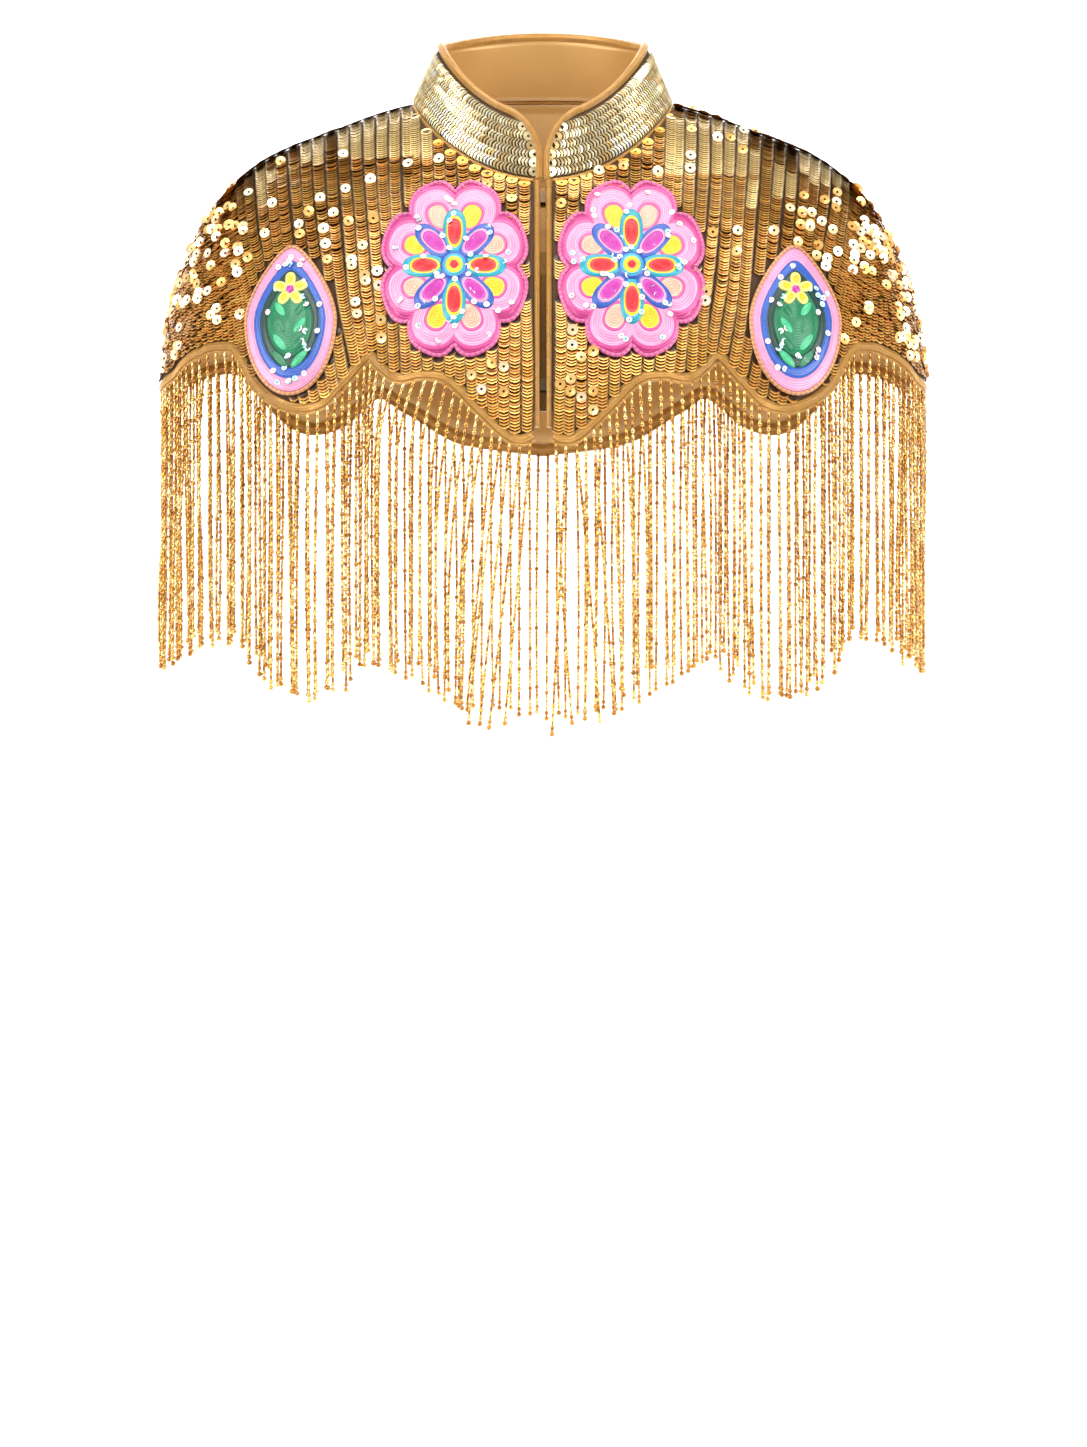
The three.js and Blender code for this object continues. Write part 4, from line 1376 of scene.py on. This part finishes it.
@dataclass
class Petal:
    """A softly domed leaf shape of nested colour bands, placed on a motif."""

    x: float
    z: float
    angle: float
    length: float
    width: float
    bands: tuple[tuple[float, tuple[int, int, int]], ...]
    base: float = 2.1
    rise: float = 0.9
    point: float = 0.35
    notch: float = 0.0

    def outline(self, share: Array, angle: Array) -> tuple[Array, Array]:
        """Places in x and z at shares of the way to the outline, narrowed at the tip or notched."""
        reach = share * (1 - self.notch * (1 - np.abs(np.sin(4 * angle))) ** 2)
        along = reach * np.cos(angle) * self.length / 2
        taper = 1 - self.point * np.maximum(np.cos(angle), 0) ** 1.5
        wide = reach * np.sin(angle) * self.width / 2 * taper
        turn = math.radians(self.angle)
        return (self.x + along * math.cos(turn) - wide * math.sin(turn),
                self.z + along * math.sin(turn) + wide * math.cos(turn))

    def patch(self, side: int, steps: int = 40) -> Patch:
        """Build the petal on a polar grid whose rings repeat at each colour's edge.

        Args:
            side: 1 on the right front and -1 on the left.
            steps: points round the outline.

        Returns:
            The petal's closed patch.
        """
        edges = [0.04] + [b[0] for b in self.bands]
        rings = np.concatenate([np.linspace(a, b, 4) for a, b in zip(edges[:-1], edges[1:])])
        tones = np.repeat([rgb(*colour)[:3] for _, colour in self.bands], 4, 0)
        share = rings[:, None]
        angle = circle(steps)[None]
        x, z = self.outline(share, angle)
        dome = self.base + self.rise * np.sqrt(np.clip(1 - share ** 2.4, 0, 1)) + 0 * angle
        top = on_front(x, z, dome)
        under = on_front(x[-1:], z[-1:], np.full((1, steps), 0.3))
        points = np.concatenate([top, under]).reshape(-1, 3) * [side, 1, 1]
        faces = grid_faces(len(rings) + 1, steps, wrap=True)
        hub = np.arange(steps)[None]
        tone = np.repeat(np.concatenate([tones, tones[-1:]]), steps, 0)
        uv = np.stack([share * self.length / 2 + 0 * angle, angle * 6 + 0 * share], -1)
        uv = np.concatenate([uv, uv[-1:]]).reshape(-1, 2)
        a, b, c = (points[faces[steps * 2, k]] for k in range(3))
        if np.cross(b - a, c - b)[1] > 0:
            faces, hub = faces[:, ::-1], hub[:, ::-1]
        return Patch(points, [faces, hub], uv, tone)

    def cord(self, side: int, radius: float, colour: tuple[int, int, int], steps: int = 160) -> Patch:
        """A round cord along the outline, whose two ends meet at its foot.

        Args:
            side: 1 on the right front and -1 on the left.
            radius: the cord's radius.
            colour: its colour.
            steps: points along it.

        Returns:
            The cord's patch.
        """
        angle = np.linspace(0, 2 * math.pi, steps)
        x, z = self.outline(np.ones(steps), angle)
        line = on_front(x, z, np.full(steps, self.base - 0.3)) * [side, 1, 1]
        above = on_front(x, z, np.full(steps, self.base + 0.7)) * [side, 1, 1]
        patch = sweep(line, above - line, oval_section(radius, radius, 12), 0.5)
        patch.tone = np.tile(rgb(*colour)[:3], (len(patch.points), 1))
        return patch


PINK, HOT_PINK, YELLOW = (246, 164, 200), (230, 84, 156), (244, 216, 10)
RED, TURQUOISE, BLUE, MAGENTA = (228, 20, 30), (24, 178, 196), (44, 96, 190), (206, 44, 172)
EMERALD, DEEP_GREEN, LIME, PEACH = (0, 132, 80), (0, 62, 44), (70, 206, 140), (244, 190, 160)


def glints(petals: list[Petal], side: int, share: float, count: int, seed: int) -> Patch:
    """Small clear sequins spread along rings of the petals.

    Args:
        petals: the petals that they lie on.
        side: 1 on the right front and -1 on the left.
        share: where between a petal's middle and its outline.
        count: how many on each petal.
        seed: the seed of their spread.

    Returns:
        One patch with all discs.
    """
    rng = np.random.default_rng(seed)
    x, z, out = [], [], []
    for petal in petals:
        px, pz = petal.outline(share + rng.normal(0, 0.08, count), rng.uniform(0, 2 * math.pi, count))
        x.append(px)
        z.append(pz)
        out.append(np.full(count, petal.base + petal.rise * 0.75 + 0.5))
    x, z, out = (np.concatenate(v) for v in (x, z, out))
    low = on_front(x, z, out)
    normal = unit(on_front(x, z, out + 1) - low + rng.normal(0, 0.2, low.shape)) * [side, 1, 1]
    tone = CLEAR_TONES[rng.integers(0, 3, len(x))]
    down = np.tile([0.0, 0.0, -1.0], (len(x), 1))
    still, even = np.zeros(len(x)), np.ones(len(x))
    return Discs(radius=1.9).patch(low * [side, 1, 1], normal, down, still, even, tone)


@dataclass
class Rosette:
    """A round flower of layered petals on each side of the chest."""

    side: int
    label: str

    def petals(self) -> list[Petal]:
        """Eight broad petals, eight slim ones over them, and a banded centre."""
        found = []
        for k in range(8):
            angle = 22.5 + 45 * k
            c, s = direction(angle)
            inner = (YELLOW, PEACH)[k % 2]
            bands = ((0.36, inner), (0.46, HOT_PINK), (0.86, PINK), (1.0, HOT_PINK))
            found.append(Petal(ROSETTE.x + 25.5 * c, ROSETTE.z + 33.5 * s, angle, 35 + 8 * s * s, 31, bands,
                               point=-0.25))
        for k in range(8):
            angle = 45.0 * k
            c, s = direction(angle)
            core, middle, rim = ((RED, YELLOW, TURQUOISE), (MAGENTA, PINK, BLUE))[k % 2]
            bands = ((0.55, core), (0.68, middle), (1.0, rim))
            found.append(Petal(ROSETTE.x + 17.5 * c, ROSETTE.z + 21 * s, angle, 27 + 3 * s * s, 14.5,
                               bands, 2.8, 1.0, -0.25))
        bands = ((0.3, RED), (0.6, YELLOW), (0.8, TURQUOISE), (1.0, BLUE))
        found.append(Petal(ROSETTE.x, ROSETTE.z, 0, 17, 17, bands, 3.4, 1.2, 0))
        return found

    def build(self, finishes: Finishes) -> None:
        """Build the flower on its plate, with a cord round it and clear sequins on it.

        Args:
            finishes: the cape's materials.
        """
        petals = self.petals()
        plate = Petal(ROSETTE.x, ROSETTE.z, 0, 2 * ROSETTE.half_wide, 2 * ROSETTE.half_tall,
                      ((1.0, HOT_PINK),), 1.6, 0.3, 0, ROSETTE.notch)
        patches = [petal.patch(self.side) for petal in petals] + [plate.patch(self.side, 96)]
        patches.append(plate.cord(self.side, 1.3, (226, 110, 160)))
        make_piece(f"rosette_{self.label}", patches, [finishes.dyed],
                   (f"applique_chest_{self.label}",))
        discs = [glints(petals[:8], self.side, 0.75, 5, 41 + self.side),
                 glints(petals[8:16], self.side, 0.8, 3, 51 + self.side)]
        make_piece(f"rosette_glints_{self.label}", discs, [finishes.clear], soft=False)


@dataclass
class LeafDrop:
    """A leaf with a pink edge and a small star flower, on each deep lobe of the hem."""

    side: int
    label: str

    def petals(self) -> list[Petal]:
        """The leaf, its light veins and the star flower at its head."""
        leaf = ((0.5, EMERALD), (0.66, DEEP_GREEN), (0.8, BLUE), (1.0, PINK))
        found = [Petal(DROP.x, DROP.z, 90, 2 * DROP.half_tall, 2 * DROP.half_wide, leaf, point=0.45)]
        for k, (up, tilt) in enumerate(((-24, 42), (-14, 38), (-4, 36), (6, 34))):
            for mirror in (1, -1):
                colour = (LIME, EMERALD)[(k + (mirror > 0)) % 2]
                found.append(Petal(DROP.x + 6 * mirror, DROP.z + up, 90 - mirror * tilt, 14 - k, 5,
                                   ((1.0, colour),), 2.8, 0.6, 0.2))
        for k in range(5):
            angle = 90 + 72 * k
            c, s = direction(angle)
            found.append(Petal(DROP.x + 6 * c, DROP.z + 18 + 6 * s, angle, 9.5, 6.5,
                               ((0.5, YELLOW), (1.0, (250, 236, 130))), 2.9, 0.8, -0.2))
        found.append(Petal(DROP.x, DROP.z + 18, 0, 5, 5, ((1.0, MAGENTA),), 3.3, 0.8, 0))
        return found

    def build(self, finishes: Finishes) -> None:
        """Build the leaf with a cord round it and clear sequins on it.

        Args:
            finishes: the cape's materials.
        """
        petals = self.petals()
        patches = [petal.patch(self.side) for petal in petals]
        patches.append(petals[0].cord(self.side, 1.2, (214, 150, 96)))
        make_piece(f"leaf_drop_{self.label}", patches, [finishes.dyed],
                   (f"applique_side_{self.label}",))
        discs = [glints(petals[:1], self.side, 0.75, 16, 61 + self.side),
                 glints(petals[:1], self.side, 0.4, 12, 63)]
        make_piece(f"leaf_glints_{self.label}", discs, [finishes.clear], soft=False)


@dataclass
class Studio:
    """A pale seamless floor and backdrop, soft lights and the camera."""

    floor_z: float = -0.95
    eye: tuple[float, float, float] = (0.0003, -3.0, -0.383)
    frame_height: float = 0.897

    # The lights. Columns: name, where it stands, where it points, its side in metres and its watts.
    LIGHTS = (
        ("key", (-1.4, -2.2, 1.5), (0.0, 0.0, -0.15), 1.3, 44),
        ("fill", (1.7, -2.0, 0.7), (0.0, 0.0, -0.15), 1.5, 27),
        ("top", (0.0, -0.2, 1.9), (0.0, 0.0, -0.1), 1.4, 30),
        ("left", (-2.3, -1.1, 0.2), (0.0, 0.0, -0.15), 1.5, 56),
        ("right", (2.3, -1.1, 0.2), (0.0, 0.0, -0.15), 1.5, 56),
        ("back", (0.0, 2.4, 2.2), (0.0, 4.2, -0.4), 2.6, 170),
    )

    def build(self) -> None:
        """Build the backdrop, the lights, the world and the camera."""
        self.backdrop()
        for light in self.LIGHTS:
            self.light(*light)
        world = bpy.data.worlds.new("studio")
        world.use_nodes = True
        sky = world.node_tree.nodes["Background"].inputs
        sky["Color"].default_value = (0.9, 0.92, 1.0, 1.0)
        sky["Strength"].default_value = 0.4
        bpy.context.scene.world = world
        bpy.context.scene.view_settings.view_transform = "Standard"
        self.camera()

    def backdrop(self) -> None:
        """A floor that curves up into a wall: a line, a quarter circle and a line, swept sideways."""
        bend, depth, height, wide = 1.4, 4.2, 4.4, 5.0
        angle = np.linspace(0, math.pi / 2, 24)
        y = np.concatenate([[-0.6], depth - bend + bend * np.sin(angle), [depth]])
        z = self.floor_z + np.concatenate([[0.0], bend - bend * np.cos(angle), [height]])
        edges = [np.stack([np.full_like(y, s * wide), y, z], -1) for s in (-1, 1)]
        points = np.stack(edges, 1).reshape(-1, 3)
        mesh = bpy.data.meshes.new("backdrop")
        mesh.from_pydata(points.tolist(), [], grid_faces(len(y), 2, flip=True).tolist())
        shader = Shader("paper", Base_Color=(0.93, 0.93, 0.93, 1.0), Roughness=0.9)
        mesh.materials.append(shader.material)
        add_object("backdrop", mesh)

    def light(self, name: str, place: tuple[float, float, float], target: tuple[float, float, float],
              size: float, power: float) -> None:
        """Add a square soft light.

        Args:
            name: the light's name.
            place: where it stands.
            target: where it points.
            size: its side.
            power: its watts.
        """
        data = bpy.data.lights.new(name, "AREA")
        data.size = size
        data.energy = power
        lamp = add_object(name, data)
        lamp.location = place
        lamp.rotation_euler = (Vector(target) - Vector(place)).to_track_quat("-Z", "Y").to_euler()

    def camera(self) -> None:
        """A level camera square to the front, whose frame is as high as the photograph's at the origin."""
        data = bpy.data.cameras.new("camera")
        data.sensor_width = 36.0
        data.lens = data.sensor_width * -self.eye[1] / self.frame_height
        camera = add_object("camera", data)
        camera.location = self.eye
        camera.rotation_euler = (math.pi / 2, 0.0, 0.0)
        bpy.context.scene.camera = camera


def main() -> None:
    """Build the cape piece by piece, then the studio."""
    logging.basicConfig(level=logging.INFO, format="%(name)s: %(message)s")
    finishes = Finishes()
    Collar().build(finishes)
    for half, seed, wide in ((Half.RIGHT, 11, 0.33), (Half.LEFT, 12, 0.33), (Half.BACK, 13, 0.64)):
        Panel(half, seed, (wide, 0.27)).build(finishes)
    FrontClosure().build(finishes)
    HemBinding().build(finishes)
    quarters = (("front_right", HEM_FIRST, 90, 21), ("back_right", 90, 180, 22),
                ("back_left", 180, 270, 23), ("front_left", 270, 360 - HEM_FIRST, 24))
    for label, low, high, seed in quarters:
        Fringe(f"fringe_{label}", low, high, seed).build(finishes)
    for side, label in ((1, "right"), (-1, "left")):
        Rosette(side, label).build(finishes)
        LeafDrop(side, label).build(finishes)
    Studio().build()


if __name__ == "__main__":
    main()
